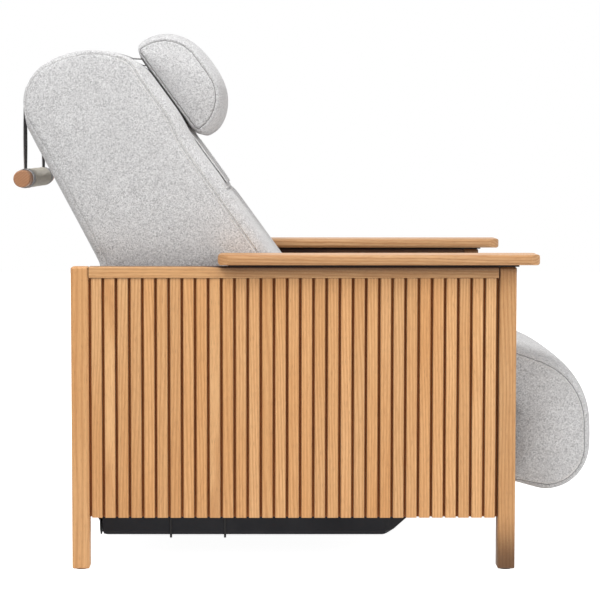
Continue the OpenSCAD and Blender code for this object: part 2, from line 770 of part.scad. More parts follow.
// Stub in the end of a cross tube, with a journal and a retaining ring
module pivot_pin(x, z) {
    stub_r = cross_tube_d / 2 - tube_wall - run_gap;
    rod_y(x, tube_half_l - stub_l, z, stub_r, stub_l);
    rod_y(x, tube_half_l, z, journal_d / 2, journal_end_y - tube_half_l);
    rod_y(x, journal_end_y - ring_t, z, journal_d / 2 + bush_t, ring_t);
}
module back_pivot_pins() { color("silver") from_middle() both_sides() pivot_pin(back_pivot_x, back_pivot_z); }
module calf_pivot_pins() { color("silver") from_middle() both_sides() pivot_pin(leg_pivot_x, leg_pivot_z); }

// Seat
module seat_board() {
    color("tan") from_middle() box([seat_x + seat_board_setback, -seat_w / 2 + seat_board_inset, seat_rail_z],
        [seat_d - seat_board_setback - seat_board_inset, seat_w - 2 * seat_board_inset, seat_board_t]);
}

module seat_cushion() {
    color("gainsboro") from_middle() soft_form(seat_outline, [seat_x + seat_d / 2, seat_z + seat_h / 2],
        seat_w / 2, seat_edge_r, seat_crown, 0, seat_draw_share, seat_d / 2);
}

// Pan under the seat: its outline at a depth share, from 0 at the top to 1 at the floor, drawn in by d
function pan_ring(share, d, z) =
    let (
        w = pan_w / 2 - pan_foot_inset * share - d,
        front = pan_x + pan_l + pan_reach * (1 - share) - d,
        side_front = pan_x + pan_l - (pan_corner - pan_reach) * (1 - share) - d,
        nose = w - pan_corner * (1 - share) - pan_foot_inset * share,
        rear = pan_x + d
    ) [[rear, -w, z], [side_front, -w, z], [front, -nose, z], [front, nose, z], [side_front, w, z],
       [rear, w, z]];

module pan_shape(top_z, foot_z, edge_r, d) {
    middle = [pan_x + pan_l / 2, 0];
    skin(
        [pan_ring(0, d, top_z), pan_ring(pan_bend_shares[0], d, foot_z + edge_r),
         pan_ring(pan_bend_shares[1], d + pan_bend_rise_share * edge_r, foot_z + pan_bend_rise_share * edge_r),
         pan_ring(1, d + edge_r, foot_z)],
        [middle.x, middle.y, top_z], [middle.x, middle.y, foot_z]
    );
}

module underpan() {
    color("dimgray") from_middle() {
        difference() {
            pan_shape(pan_top_z, pan_z, pan_edge_r, 0);
            pan_shape(pan_top_z + overrun, pan_z + pan_t, pan_edge_r, pan_t);
        }
        both_sides() box([pan_x, pan_w / 2 - pan_t, pan_top_z - pan_lip_t],
            [pan_l - pan_corner, pan_lip_w + pan_t, pan_lip_t]);
        box([pan_x - pan_rear_lip_l, -pan_w / 2 + pan_lip_w, pan_top_z - pan_lip_t],
            [pan_rear_lip_l + pan_t, pan_w - 2 * pan_lip_w, pan_lip_t]);
    }
}

module underpan_clips() {
    lip_z = pan_top_z - pan_lip_t;
    color("dimgray") from_middle() both_sides() for (s = clip_shares) {
        box([pan_x + s * pan_l - clip_l / 2, pan_w / 2 + seat_gap, lip_z - clip_t],
            [clip_l, side_y - pan_w / 2 - seat_gap, clip_t]);
        box([pan_x + s * pan_l - clip_l / 2, side_y - clip_t, lip_z - clip_t], [clip_l, clip_t, clip_h]);
    }
}

module control_box() {
    color("gray") from_middle() eased_block([control_x, -control_w / 2, pan_z + pan_t],
        [control_l, control_w, control_h], control_edge_r / 2, control_edge_r);
}

// Drives
module actuator(y, z, x, end_x, bore_from, bore_l, gear_x, motor_x, side) {
    gear_y = y + side * motor_offset / 2;
    difference() {
        union() {
            rod_x(x, y, z, barrel_d / 2, end_x - x);
            eased_block([gear_x, gear_y - gear_w / 2, z - motor_drop - gear_h / 2], [gear_l, gear_w, gear_h],
                gear_edge_r, gear_edge_r);
            rod_x(motor_x, y + side * motor_offset, z - motor_drop, motor_d / 2, motor_l);
        }
        rod_x(bore_from, y, z, rod_d / 2 + run_gap, bore_l);
    }
}

module back_actuator() {
    color("darkgray") from_middle() actuator(back_drive_y, back_axis_z, back_barrel_x, back_barrel_end_x,
        back_barrel_x - overrun, back_travel + rod_hold + 2 * overrun, back_barrel_end_x,
        back_barrel_end_x - motor_l, -1);
}

module calf_actuator() {
    color("darkgray") from_middle() actuator(calf_drive_y, calf_axis_z, calf_barrel_x, calf_barrel_end_x,
        calf_barrel_end_x - calf_travel - rod_hold - overrun, calf_travel + rod_hold + 2 * overrun,
        calf_barrel_x - gear_l, calf_barrel_x, 1);
}

module saddle(x, y, z) {
    difference() {
        union() {
            rod_x(x - saddle_l / 2, y, z, barrel_d / 2 + saddle_wall, saddle_l);
            box([x - saddle_l / 2, y - barrel_d / 2 - saddle_wall, z],
                [saddle_l, barrel_d + 2 * saddle_wall, bearer_z - z]);
        }
        rod_x(x - saddle_l, y, z, barrel_d / 2 + run_gap, 2 * saddle_l);
        box([x - saddle_l, y - barrel_d, bearer_z], [2 * saddle_l, 2 * barrel_d, barrel_d]);
    }
}

module actuator_saddles() {
    color("dimgray") from_middle() for (s = bearer_shares) {
        saddle(seat_x + s * seat_d, back_drive_y, back_axis_z);
        saddle(seat_x + s * seat_d, calf_drive_y, calf_axis_z);
    }
}

module yoke(x, y, low_z, high_z) {
    play = drive_pin_d / 2 + slot_play;
    difference() {
        box([x - yoke_w / 2, y - yoke_t / 2, low_z - play - yoke_wall],
            [yoke_w, yoke_t, high_z - low_z + 2 * (play + yoke_wall)]);
        box([x - play, y - yoke_t, low_z - play], [2 * play, 2 * yoke_t, high_z - low_z + 2 * play]);
    }
}
module back_yoke() {
    color("silver") from_middle() yoke(back_yoke_x, back_drive_y, back_pin_low_z, back_pin_high_z);
}
module calf_yoke() {
    color("silver") from_middle() yoke(calf_yoke_x, calf_drive_y, calf_pin_low_z, calf_pin_high_z);
}
module back_actuator_rod() {
    color("silver") from_middle() rod_x(back_yoke_x + yoke_w / 2, back_drive_y, back_axis_z,
        rod_d / 2, back_rod_l);
}
module calf_actuator_rod() {
    color("silver") from_middle() rod_x(calf_yoke_x - yoke_w / 2 - calf_rod_l, calf_drive_y, calf_axis_z,
        rod_d / 2, calf_rod_l);
}

// Pair of plates that hang from a cross tube, drawn about the pivot, with a hole for the drive pin
module lever(l, y) {
    for (s = [-1, 1]) difference() {
        translate([0, y + s * lever_y + lever_t / 2, 0]) rotate([90, 0, 0]) linear_extrude(lever_t) {
            circle(lever_eye_r);
            translate([0, -l]) circle(lever_tip_r);
            polygon([[-lever_root_r, 0], [-lever_tip_r, -l], [lever_tip_r, -l], [lever_root_r, 0]]);
        }
        rod_y(0, y - drive_pin_l, -l, drive_pin_d / 2 + run_gap, 2 * drive_pin_l);
        rod_y(0, y - drive_pin_l, 0, cross_tube_d / 2 - tube_wall / 2, 2 * drive_pin_l);
    }
}

module cross_tube() {
    difference() {
        rod_y(0, -tube_half_l, 0, cross_tube_d / 2, 2 * tube_half_l);
        rod_y(0, -tube_half_l - overrun, 0, cross_tube_d / 2 - tube_wall, 2 * (tube_half_l + overrun));
    }
}

// Space that a lever needs in the soft form round its tube
module lever_slot(l, y) {
    box([-lever_root_r - 2 * soft_gap, y - lever_y - lever_t, -l],
        [2 * (lever_root_r + 2 * soft_gap), 2 * (lever_y + lever_t), l]);
    rod_y(0, y - lever_y - lever_t, 0, lever_eye_r + soft_gap, 2 * (lever_y + lever_t));
}

// Backrest
module back_frame() {
    color("dimgray") on_back() {
        cross_tube();
        difference() {
            union() {
                for (s = [-1, 1]) box([post_v, s * post_y - post_w / 2, 0], [post_t, post_w, post_top_u]);
                for (u = [mid_bar_u, post_top_u - cross_bar_h])
                    box([post_v, -post_y, u], [post_t, 2 * post_y, cross_bar_h]);
            }
            rod_y(0, -tube_half_l, 0, cross_tube_d / 2 - tube_wall / 2, 2 * tube_half_l);
        }
        rotate([0, back_lean + back_lever_a, 0]) lever(back_lever_l, back_drive_y);
    }
}

module back_drive_pin() {
    color("silver") on_back() rotate([0, back_lean + back_lever_a, 0])
        rod_y(0, back_drive_y - drive_pin_l / 2, -back_lever_l, drive_pin_d / 2, drive_pin_l);
}

module back_panel() {
    color("tan") on_back() box([back_panel_v, -panel_half_w, panel_low_u],
        [back_panel_t, 2 * panel_half_w, post_top_u - panel_low_u]);
}

module back_cushion() {
    color("gainsboro") on_back() difference() {
        soft_form(back_outline, back_middle, back_w / 2, back_edge_r, back_crown, back_side_swell, 0, back_w);
        rod_y(0, -back_w, 0, cross_tube_d / 2 + seat_gap, 2 * back_w);
        box([back_panel_v - seat_gap, -panel_half_w - seat_gap, panel_low_u - seat_gap],
            [back_panel_t + 2 * seat_gap, 2 * (panel_half_w + seat_gap),
             post_top_u - panel_low_u + 2 * seat_gap]);
        for (s = [-1, 1]) box([post_v - seat_gap, s * post_y - post_w / 2 - seat_gap, 0],
            [post_t + 2 * seat_gap, post_w + 2 * seat_gap, post_top_u + seat_gap]);
        for (u = [mid_bar_u, post_top_u - cross_bar_h]) box([post_v - seat_gap, -post_y, u - seat_gap],
            [post_t + 2 * seat_gap, 2 * post_y, cross_bar_h + 2 * seat_gap]);
        rotate([0, back_lean + back_lever_a, 0]) lever_slot(2 * back_face, back_drive_y);
    }
}

// Strap over the top, from under the pillow to where it leaves the backrest to hang
strap_steps = 14;
function strap_side(lift) = concat(
    [[back_face + lift, strap_low_u]],
    [for (i = [0:strap_steps]) on_circle(front_c, back_front_r + lift, 90 * i / strap_steps)],
    [for (i = [1:strap_steps])
        on_circle(rear_c, back_rear_r + lift, 90 + (strap_end_a - 90) * i / strap_steps)]
);
function backwards(list) = [for (i = [len(list) - 1:-1:0]) list[i]];

module head_straps() {
    color("darkgray") on_back() for (s = [-1, 1])
        translate([0, s * strap_y + strap_w / 2, 0]) rotate([90, 0, 0]) linear_extrude(strap_w)
            polygon(concat(strap_side(strap_lift + strap_t), backwards(strap_side(strap_lift))));
}

module head_pillow() {
    color("gainsboro") on_back() soft_form(pillow_outline, pillow_middle, pillow_l / 2, pillow_seam_r,
        pillow_crown, pillow_cap_swell, 0, pillow_l);
}

module pillow_flap() {
    color("gainsboro") on_back() eased_block([flap_v, -flap_w / 2, flap_u],
        [flap_t, flap_w, pillow_u + flap_tuck - flap_u], flap_t / 3, flap_t / 3);
}

module strap_drops() {
    color("darkgray") from_middle() for (s = [-1, 1]) {
        box([hang_x - strap_t / 2, s * strap_y - strap_w / 2, drop_foot_z],
            [strap_t, strap_w, hang_z - drop_foot_z]);
        rod_y(hang_x, s * strap_y - strap_w / 2, hang_z, strap_t / 2, strap_w);
    }
}

module strap_loops() {
    color("darkgray") from_middle() for (s = [-1, 1]) difference() {
        rod_y(hang_x, s * strap_y - strap_w / 2, dowel_z, loop_r + strap_t, strap_w);
        rod_y(hang_x, s * strap_y - strap_w, dowel_z, loop_r, 2 * strap_w);
    }
}

module counterweight_dowel() {
    color("burlywood") from_middle() translate([hang_x, 0, dowel_z]) rotate([90, 0, 0]) rotate_extrude()
        polygon([
            [0, -dowel_l / 2], [dowel_d / 2 - dowel_edge_r, -dowel_l / 2],
            [dowel_d / 2, -dowel_l / 2 + dowel_edge_r], [dowel_d / 2, dowel_l / 2 - dowel_edge_r],
            [dowel_d / 2 - dowel_edge_r, dowel_l / 2], [0, dowel_l / 2]
        ]);
}

module dowel_sleeve() {
    color("silver") from_middle() difference() {
        rod_y(hang_x, -sleeve_l / 2, dowel_z, loop_r + sleeve_t, sleeve_l);
        rod_y(hang_x, -sleeve_l, dowel_z, loop_r, 2 * sleeve_l);
    }
}

// Calf rest
module at_calf_pivot() { translate([leg_pivot_x, 0, leg_pivot_z]) children(); }

module calf_frame() {
    color("dimgray") from_middle() {
        at_calf_pivot() cross_tube();
        difference() {
            union() {
                for (s = [-1, 1]) box([calf_post_x, s * calf_post_y - calf_post_w / 2, calf_post_foot_z],
                    [calf_post_t, calf_post_w, leg_pivot_z - calf_post_foot_z]);
                box([calf_post_x, -calf_post_y, calf_post_foot_z], [calf_post_t, 2 * calf_post_y, cross_bar_h]);
            }
            at_calf_pivot() rod_y(0, -tube_half_l, 0, cross_tube_d / 2 - tube_wall / 2, 2 * tube_half_l);
        }
        at_calf_pivot() rotate([0, calf_lever_a, 0]) lever(calf_lever_l, calf_drive_y);
    }
}

module calf_drive_pin() {
    color("silver") from_middle() at_calf_pivot() rotate([0, calf_lever_a, 0])
        rod_y(0, calf_drive_y - drive_pin_l / 2, -calf_lever_l, drive_pin_d / 2, drive_pin_l);
}

module calf_board() {
    color("tan") from_middle() box([calf_board_x, -calf_board_half_w, calf_heel.y + 2 * soft_gap],
        [calf_board_t, 2 * calf_board_half_w, calf_board_top_z - calf_heel.y - 2 * soft_gap]);
}

module calf_cushion() {
    color("gainsboro") from_middle() difference() {
        soft_form(calf_outline, calf_middle, calf_w / 2, calf_seam_r, calf_crown, calf_cap_swell, 0, calf_w);
        rod_y(leg_pivot_x, -calf_w, leg_pivot_z, cross_tube_d / 2 + seat_gap, 2 * calf_w);
        for (s = [-1, 1])
            box([calf_post_x - seat_gap, s * calf_post_y - calf_post_w / 2 - seat_gap,
                leg_pivot_z - 2 * calf_nose_r],
                [calf_post_t + 2 * seat_gap, calf_post_w + 2 * seat_gap, 2 * calf_nose_r]);
        at_calf_pivot() rotate([0, calf_lever_a, 0]) lever_slot(2 * calf_nose_r + calf_crown, calf_drive_y);
    }
}

// Arm boards, drawn for the left side
module arm_screw(s, grow) {
    x = channel_x + s * channel_l;
    z = arm_z + channel_h - channel_web_t;
    translate([x, runner_y, z - grow * overrun]) cylinder(arm_screw_head_h + grow * (overrun + hole_gap),
        arm_screw_head_d / 2 + grow * hole_gap, arm_screw_head_d / 2 + grow * hole_gap);
    translate([x, runner_y, z]) cylinder(arm_screw_head_h + arm_screw_l + grow * hole_gap,
        arm_screw_d / 2 + grow * hole_gap, arm_screw_d / 2 + grow * hole_gap);
}

module arm_screws() { from_middle() for (s = arm_screw_shares) arm_screw(s, 0); }

module arm_slider() {
    from_middle() difference() {
        box([channel_x, runner_y - channel_w / 2, arm_z], [channel_l, channel_w, channel_h]);
        box([channel_x - overrun, runner_y - key_neck_w / 2 - slot_gap, arm_z - overrun],
            [channel_l + 2 * overrun, key_neck_w + 2 * slot_gap, channel_h - channel_web_t + overrun]);
        box([channel_x - overrun, runner_y - key_head_w / 2 - slot_gap, arm_z + channel_lip_t],
            [channel_l + 2 * overrun, key_head_w + 2 * slot_gap, key_head_h + 2 * slot_gap]);
        for (s = arm_screw_shares) arm_screw(s, 1);
    }
}

module arm_board() {
    from_middle() difference() {
        eased_block([arm_x, arm_in_y, arm_z], [arm_l, arm_w, arm_t], arm_edge_r, arm_corner_r);
        box([channel_x - seat_gap, runner_y - channel_w / 2 - seat_gap, arm_z - overrun],
            [channel_l + 2 * seat_gap, channel_w + 2 * seat_gap, overrun + channel_h + seat_gap]);
        for (s = arm_screw_shares) arm_screw(s, 1);
    }
}

module arm_board_right() { color("wheat") right_side() arm_board(); }
module arm_board_left() { color("wheat") arm_board(); }
module arm_slider_right() { color("dimgray") right_side() arm_slider(); }
module arm_slider_left() { color("dimgray") arm_slider(); }
module arm_screws_right() { color("silver") right_side() arm_screws(); }
module arm_screws_left() { color("silver") arm_screws(); }

rear_leg_right();
rear_leg_left();
front_leg_right();
front_leg_left();
top_rail_right();
top_rail_left();
low_rail_right();
low_rail_left();
slats_right();
slats_left();
backing_board_right();
backing_board_left();
foot_glides();
arm_runner_right();
arm_runner_left();
rear_stretcher();
front_stretcher();
seat_rails();
seat_bearers();
frame_bolts();
back_pivot_brackets();
back_pivot_bushes();
calf_pivot_brackets();
calf_pivot_bushes();
seat_board();
seat_cushion();
underpan();
underpan_clips();
control_box();
actuator_saddles();
back_actuator();
calf_actuator();
back_frame();
back_pivot_pins();
back_drive_pin();
back_panel();
back_cushion();
head_straps();
head_pillow();
pillow_flap();
strap_drops();
counterweight_dowel();
dowel_sleeve();
strap_loops();
calf_frame();
calf_pivot_pins();
calf_drive_pin();
calf_board();
calf_cushion();
arm_board_right();
arm_slider_right();
arm_screws_right();
arm_board_left();
arm_slider_left();
arm_screws_left();
back_actuator_rod();
back_yoke();
calf_actuator_rod();
calf_yoke();
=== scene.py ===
import bpy
import bmesh
import math
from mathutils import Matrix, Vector, kdtree
from mathutils.bvhtree import BVHTree


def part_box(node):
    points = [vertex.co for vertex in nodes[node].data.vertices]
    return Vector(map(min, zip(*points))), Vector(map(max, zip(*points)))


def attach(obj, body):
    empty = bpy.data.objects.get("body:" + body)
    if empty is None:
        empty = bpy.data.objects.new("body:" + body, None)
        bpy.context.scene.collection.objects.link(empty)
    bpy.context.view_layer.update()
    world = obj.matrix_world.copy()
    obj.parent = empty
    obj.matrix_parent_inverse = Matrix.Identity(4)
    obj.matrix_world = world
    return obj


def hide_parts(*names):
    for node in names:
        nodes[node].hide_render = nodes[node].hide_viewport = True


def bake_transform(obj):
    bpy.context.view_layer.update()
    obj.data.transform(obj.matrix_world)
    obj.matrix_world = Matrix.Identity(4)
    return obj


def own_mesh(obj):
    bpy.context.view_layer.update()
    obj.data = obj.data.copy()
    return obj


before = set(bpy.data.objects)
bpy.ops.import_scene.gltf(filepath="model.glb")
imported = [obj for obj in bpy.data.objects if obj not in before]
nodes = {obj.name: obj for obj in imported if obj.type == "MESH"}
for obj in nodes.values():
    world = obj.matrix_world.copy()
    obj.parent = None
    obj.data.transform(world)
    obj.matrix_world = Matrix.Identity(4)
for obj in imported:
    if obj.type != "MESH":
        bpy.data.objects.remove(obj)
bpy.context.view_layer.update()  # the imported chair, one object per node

scene = bpy.context.scene
print("frame loaded:", len(nodes), "nodes")

# Where things are, in millimetres from the rear legs' back face and the floor
chair = {
    "originX": 474.310,
    "coverPivot": (528.6, 431.0),  # the backrest's cover leans a little more than the frame in it
    "coverLean": 36.1,
    "hang": (-589.390, 949.411),  # where the straps leave the backrest, from the chair's middle
    "dowelZ": 798.411,
    "slatCount": 31,
    "slatGap": 5.1,
}


def onChair(x, y, z):
    return Vector(((x - chair["originX"]) / 1000, y / 1000, z / 1000))


def onBack(v, y, u):  # v out of the backrest's face, u up along it
    lean = math.radians(chair["coverLean"])
    px, pz = chair["coverPivot"]
    return onChair(px + v * math.cos(lean) - u * math.sin(lean), y, pz + v * math.sin(lean) + u * math.cos(lean))


def placed(name, data):
    obj = bpy.data.objects.new(name, data)
    scene.collection.objects.link(obj)
    return obj


# Camera, low and square to the near side
cameraLook = {
    "place": (-0.0792, -4.227, 0.8609), "pitch": 86.5, "lens": 114.26, "sensor": 36.0,
    "shiftX": 0.0583, "shiftY": -0.0575, "clipEnd": 60.0,
}


def makeCamera(look):
    data = bpy.data.cameras.new("photoCamera")
    data.lens = look["lens"]
    data.sensor_width = look["sensor"]
    data.shift_x = look["shiftX"]
    data.shift_y = look["shiftY"]
    data.clip_end = look["clipEnd"]
    scene.camera = placed("photoCamera", data)
    scene.camera.location = look["place"]
    scene.camera.rotation_euler = (math.radians(look["pitch"]), 0, 0)


makeCamera(cameraLook)
print("camera placed")


# Small helpers for materials
def colour(rgb, share=1.0):  # from 0 to 255, as a picture shows it, to the shader's own scale
    parts = [c / 255 for c in rgb]
    return tuple((c / 12.92 if c <= 0.04045 else ((c + 0.055) / 1.055) ** 2.4) * share for c in parts) + (1.0,)


def freshTree(owner, kind):  # empty but for its output
    owner.use_nodes = True
    owner.node_tree.nodes.clear()
    return owner.node_tree, owner.node_tree.nodes.new(kind)


def startMaterial(name, roughness, **settings):
    material = bpy.data.materials.new(name)
    tree, output = freshTree(material, "ShaderNodeOutputMaterial")
    shader = tree.nodes.new("ShaderNodeBsdfPrincipled")
    tree.links.new(shader.outputs[0], output.inputs[0])
    shader.inputs["Roughness"].default_value = roughness
    for key, value in settings.items():
        shader.inputs[key.replace("_", " ")].default_value = value
    return material, tree, shader


def add(tree, kind, inputs=(), **settings):
    node = tree.nodes.new("ShaderNode" + kind)
    for key, value in settings.items():
        setattr(node, key, value)
    pairs = inputs.items() if isinstance(inputs, dict) else enumerate(inputs)
    for key, value in pairs:
        if isinstance(value, bpy.types.NodeSocket):
            tree.links.new(value, node.inputs[key])
        elif value is not None:
            node.inputs[key].default_value = value
    return node


def calc(tree, operation, a, b=None, c=None):
    return add(tree, "Math", [a, b, c], operation=operation).outputs[0]


def vectorCalc(tree, operation, a, b=None):
    return add(tree, "VectorMath", [a, b], operation=operation).outputs[0]


def stretch(tree, vector, scale):
    return vectorCalc(tree, "MULTIPLY", vector, scale)


def split(tree, vector):
    return add(tree, "SeparateXYZ", [vector]).outputs


def grainNoise(tree, vector, scale=1.0, detail=2.0, roughness=0.5):
    inputs = {"Vector": vector, "Scale": scale, "Detail": detail, "Roughness": roughness}
    return add(tree, "TexNoise", inputs).outputs[0]


def between(tree, value, low, high, outLow=0.0, outHigh=1.0):
    return add(tree, "MapRange", [value, low, high, outLow, outHigh], clamp=True).outputs[0]


def layer(tree, share, base, rgb, strength=1.0):
    inputs = {0: share, 6: base, 7: colour(rgb, strength)}
    return add(tree, "Mix", inputs, data_type="RGBA", clamp_factor=True).outputs[2]


def objectPlace(tree):
    return add(tree, "TexCoord").outputs["Object"]


def finished(made, base, height, depth, strength, roughness=None):  # joins them to the shader
    material, tree, shader = made
    bump = add(tree, "Bump", {"Height": height, "Distance": depth, "Strength": strength})
    for key, socket in (("Base Color", base), ("Roughness", roughness), ("Normal", bump.outputs[0])):
        if socket is not None:
            tree.links.new(socket, shader.inputs[key])
    return material


# Wood: rings round a far centre, long fibres, short pores, and a tone of its own for each slat
oakLook = {
    "pale": (236, 188, 135), "warm": (220, 164, 107), "late": (184, 125, 73), "pore": (120, 76, 42),
    "ringEvery": 0.0062, "ringSharp": 1.7, "fibre": 0.0013, "roughness": 0.47, "gloss": 0.38,
    "cloud": (7.0, 7.0, 1.3), "wave": (22.0, 22.0, 2.4), "fibreRun": 22.0, "pores": (1500.0, 1500.0, 60.0),
    "bend": 0.030, "ripple": 0.012, "heart": 0.075, "taper": 0.012,
    "lateShare": 0.50, "fibreShare": 0.42, "poreShare": 0.34, "relief": 0.00022,
    "slatShift": (0.5, 0.5, 3.0), "slatTone": (0.95, 1.06), "farSlats": 57.0,
}
# painted shade: colour, reach and strength of the ambient-occlusion darkening on the wood
paintedShadeLook = {"tint": (54, 27, 12), "reach": 0.12, "clear": 0.985, "full": 0.68, "samples": 12}
grainOrder = {"x": (1, 2, 0), "y": (2, 0, 1), "z": (0, 1, 2)}


def woodMaterial(name, look, grain, shift, contrast=1.0, tone=1.0, paintedShade=0.0, pieces=None):
    made = startMaterial(name, look["roughness"], Specular_IOR_Level=look["gloss"])
    tree = made[1]
    place = objectPlace(tree)
    if pieces:
        start, pitch = pieces
        axes = split(tree, place)
        number = calc(tree, "FLOOR", calc(tree, "DIVIDE", calc(tree, "SUBTRACT", axes[0], start), pitch))
        seed = calc(tree, "MULTIPLY_ADD", calc(tree, "SIGN", axes[1]), look["farSlats"], number)
        white = add(tree, "TexWhiteNoise", {"W": seed}, noise_dimensions="1D").outputs
        place = vectorCalc(tree, "ADD", place, stretch(tree, white["Color"], look["slatShift"]))
        low, high = look["slatTone"]
        tone = between(tree, white["Value"], 0.0, 1.0, low * tone, high * tone)
    axes = split(tree, place)
    along = add(tree, "CombineXYZ", [axes[i] for i in grainOrder[grain]]).outputs[0]
    along = vectorCalc(tree, "ADD", along, shift)
    cloud = grainNoise(tree, stretch(tree, along, look["cloud"]), 1.0, 2.0, 0.55)
    wave = grainNoise(tree, stretch(tree, along, look["wave"]), 1.0, 3.0, 0.6)
    axes = split(tree, along)
    across = calc(tree, "MULTIPLY_ADD", cloud, look["bend"], axes[0])
    depth = calc(tree, "ADD", calc(tree, "MULTIPLY_ADD", wave, look["ripple"], axes[1]), look["heart"])
    reach = calc(tree, "SQRT", calc(tree, "ADD", calc(tree, "POWER", across, 2.0), calc(tree, "POWER", depth, 2.0)))
    turns = calc(tree, "DIVIDE", calc(tree, "MULTIPLY_ADD", axes[2], look["taper"], reach), look["ringEvery"])
    ring = calc(tree, "MULTIPLY_ADD", calc(tree, "SINE", calc(tree, "MULTIPLY", turns, math.tau)), 0.5, 0.5)
    ring = calc(tree, "POWER", ring, look["ringSharp"])
    fine = 1 / look["fibre"]
    fibre = grainNoise(tree, stretch(tree, along, (fine, fine, look["fibreRun"])), 1.0, 3.0, 0.6)
    pore = between(tree, grainNoise(tree, stretch(tree, along, look["pores"]), 1.0, 1.0), 0.60, 0.72)
    base = layer(tree, between(tree, cloud, 0.3, 0.7), colour(look["pale"]), look["warm"])
    base = layer(tree, calc(tree, "MULTIPLY", ring, look["lateShare"] * contrast), base, look["late"])
    base = layer(tree, between(tree, fibre, 0.42, 0.66, 0.0, look["fibreShare"] * contrast), base, look["late"])
    base = layer(tree, calc(tree, "MULTIPLY", pore, look["poreShare"]), base, look["pore"])
    base = add(tree, "HueSaturation", {"Value": tone, "Color": base}).outputs[0]
    if paintedShade:  # painted shade: ambient occlusion darkens the wood under the arm's overhang and where pieces meet
        inputs = {"Distance": paintedShadeLook["reach"]}
        openness = add(tree, "AmbientOcclusion", inputs, samples=paintedShadeLook["samples"]).outputs["AO"]
        shadeShare = between(tree, openness, paintedShadeLook["clear"], paintedShadeLook["full"], 0.0, paintedShade)
        base = layer(tree, shadeShare, base, paintedShadeLook["tint"])
    roughness = between(tree, fibre, 0.3, 0.7, look["roughness"] - 0.05, look["roughness"] + 0.11)
    relief = calc(tree, "SUBTRACT", calc(tree, "MULTIPLY", fibre, 0.6), calc(tree, "MULTIPLY", pore, 0.9))
    return finished(made, base, relief, look["relief"], 0.7, roughness)


# Upholstery: heathered yarn in three greys, woven about 1.5 mm apart
fabricLook = {
    "pale": (244, 244, 244), "mid": (211, 210, 210), "deep": (136, 135, 138), "fleck": 0.0016, "yarn": 0.0014,
    "deepShare": 0.95, "deepYarns": 0.52, "paleYarns": 0.62, "weave": 0.22, "nap": 1.2, "relief": 0.0007,
    "roughness": 0.92, "gloss": 0.22, "sheen": 0.22,
}
sleeveFabricLook = dict(
    fabricLook, pale=(222, 215, 200), mid=(200, 193, 178), deep=(156, 149, 136), yarn=0.0011, fleck=0.0018)


def fabricMaterial(name, look):
    made = startMaterial(
        name, look["roughness"], Specular_IOR_Level=look["gloss"], Sheen_Weight=look["sheen"], Sheen_Roughness=0.5)
    tree = made[1]
    coords = add(tree, "TexCoord").outputs
    place = coords["Object"]
    fleck = grainNoise(tree, place, 1 / look["fleck"], 2.0, 0.75)
    cells = add(tree, "TexVoronoi", {"Vector": place, "Scale": 0.62 / look["yarn"]})
    cell = add(tree, "SeparateColor", [cells.outputs["Color"]]).outputs[0]
    cloud = grainNoise(tree, place, 26.0)
    base = layer(tree, between(tree, fleck, 0.47, 0.30, 0.0, look["deepShare"]), colour(look["mid"]), look["deep"])
    base = layer(tree, between(tree, fleck, 0.52, 0.66), base, look["pale"])
    base = layer(tree, between(tree, cell, 0.70, 1.0, 0.0, look["deepYarns"]), base, look["deep"])
    base = layer(tree, between(tree, cell, 0.26, 0.0, 0.0, look["paleYarns"]), base, look["pale"])
    tone = between(tree, cloud, 0.3, 0.7, 0.975, 1.025)
    base = add(tree, "HueSaturation", {"Value": tone, "Color": base}).outputs[0]
    facing = split(tree, vectorCalc(tree, "ABSOLUTE", coords["Normal"]))
    threads = split(tree, vectorCalc(tree, "SINE", stretch(tree, place, (math.tau / look["yarn"],) * 3)))
    weave = None
    for main, a, b in ((0, 1, 2), (1, 0, 2), (2, 0, 1)):  # threads cross on the plane that faces out
        crossing = calc(tree, "MULTIPLY", threads[a], threads[b])
        part = calc(tree, "MULTIPLY", crossing, calc(tree, "POWER", facing[main], 3.0))
        weave = part if weave is None else calc(tree, "ADD", weave, part)
    height = calc(tree, "MULTIPLY_ADD", weave, look["weave"], calc(tree, "MULTIPLY", fleck, look["nap"]))
    return finished(made, base, height, look["relief"], 0.55)


# Narrow woven strap, ribbed along its length, a little paler at its edges
webbingLook = {"dark": (150, 149, 150), "pale": (206, 205, 205), "width": 0.038, "rib": 0.0021, "pick": 0.0013}
liningLook = dict(webbingLook, dark=(54, 53, 55), pale=(104, 102, 104))


def webbingMaterial(name, look):
    made = startMaterial(name, 0.8, Specular_IOR_Level=0.25, Sheen_Weight=0.15)
    tree = made[1]
    across, along = split(tree, add(tree, "TexCoord").outputs["UV"])[:2]
    rib = calc(tree, "SINE", calc(tree, "MULTIPLY", across, math.tau / look["rib"]))
    pick = calc(tree, "SINE", calc(tree, "MULTIPLY", along, math.tau / look["pick"]))
    rows = calc(tree, "MULTIPLY", rib, pick)
    middle = look["width"] / 2
    away = calc(tree, "ABSOLUTE", calc(tree, "SUBTRACT", across, middle))
    edge = between(tree, away, middle - 0.004, middle - 0.001)
    speck = grainNoise(tree, objectPlace(tree), 700.0, 1.0)
    base = layer(tree, between(tree, speck, 0.35, 0.65, 0.05, 0.4), colour(look["dark"]), look["pale"])
    base = layer(tree, calc(tree, "MULTIPLY", edge, 0.45), base, look["pale"])
    base = layer(tree, between(tree, rows, 0.2, 1.0, 0.0, 0.3), base, look["dark"], 0.5)
    return finished(made, base, rows, 0.0004, 0.6)
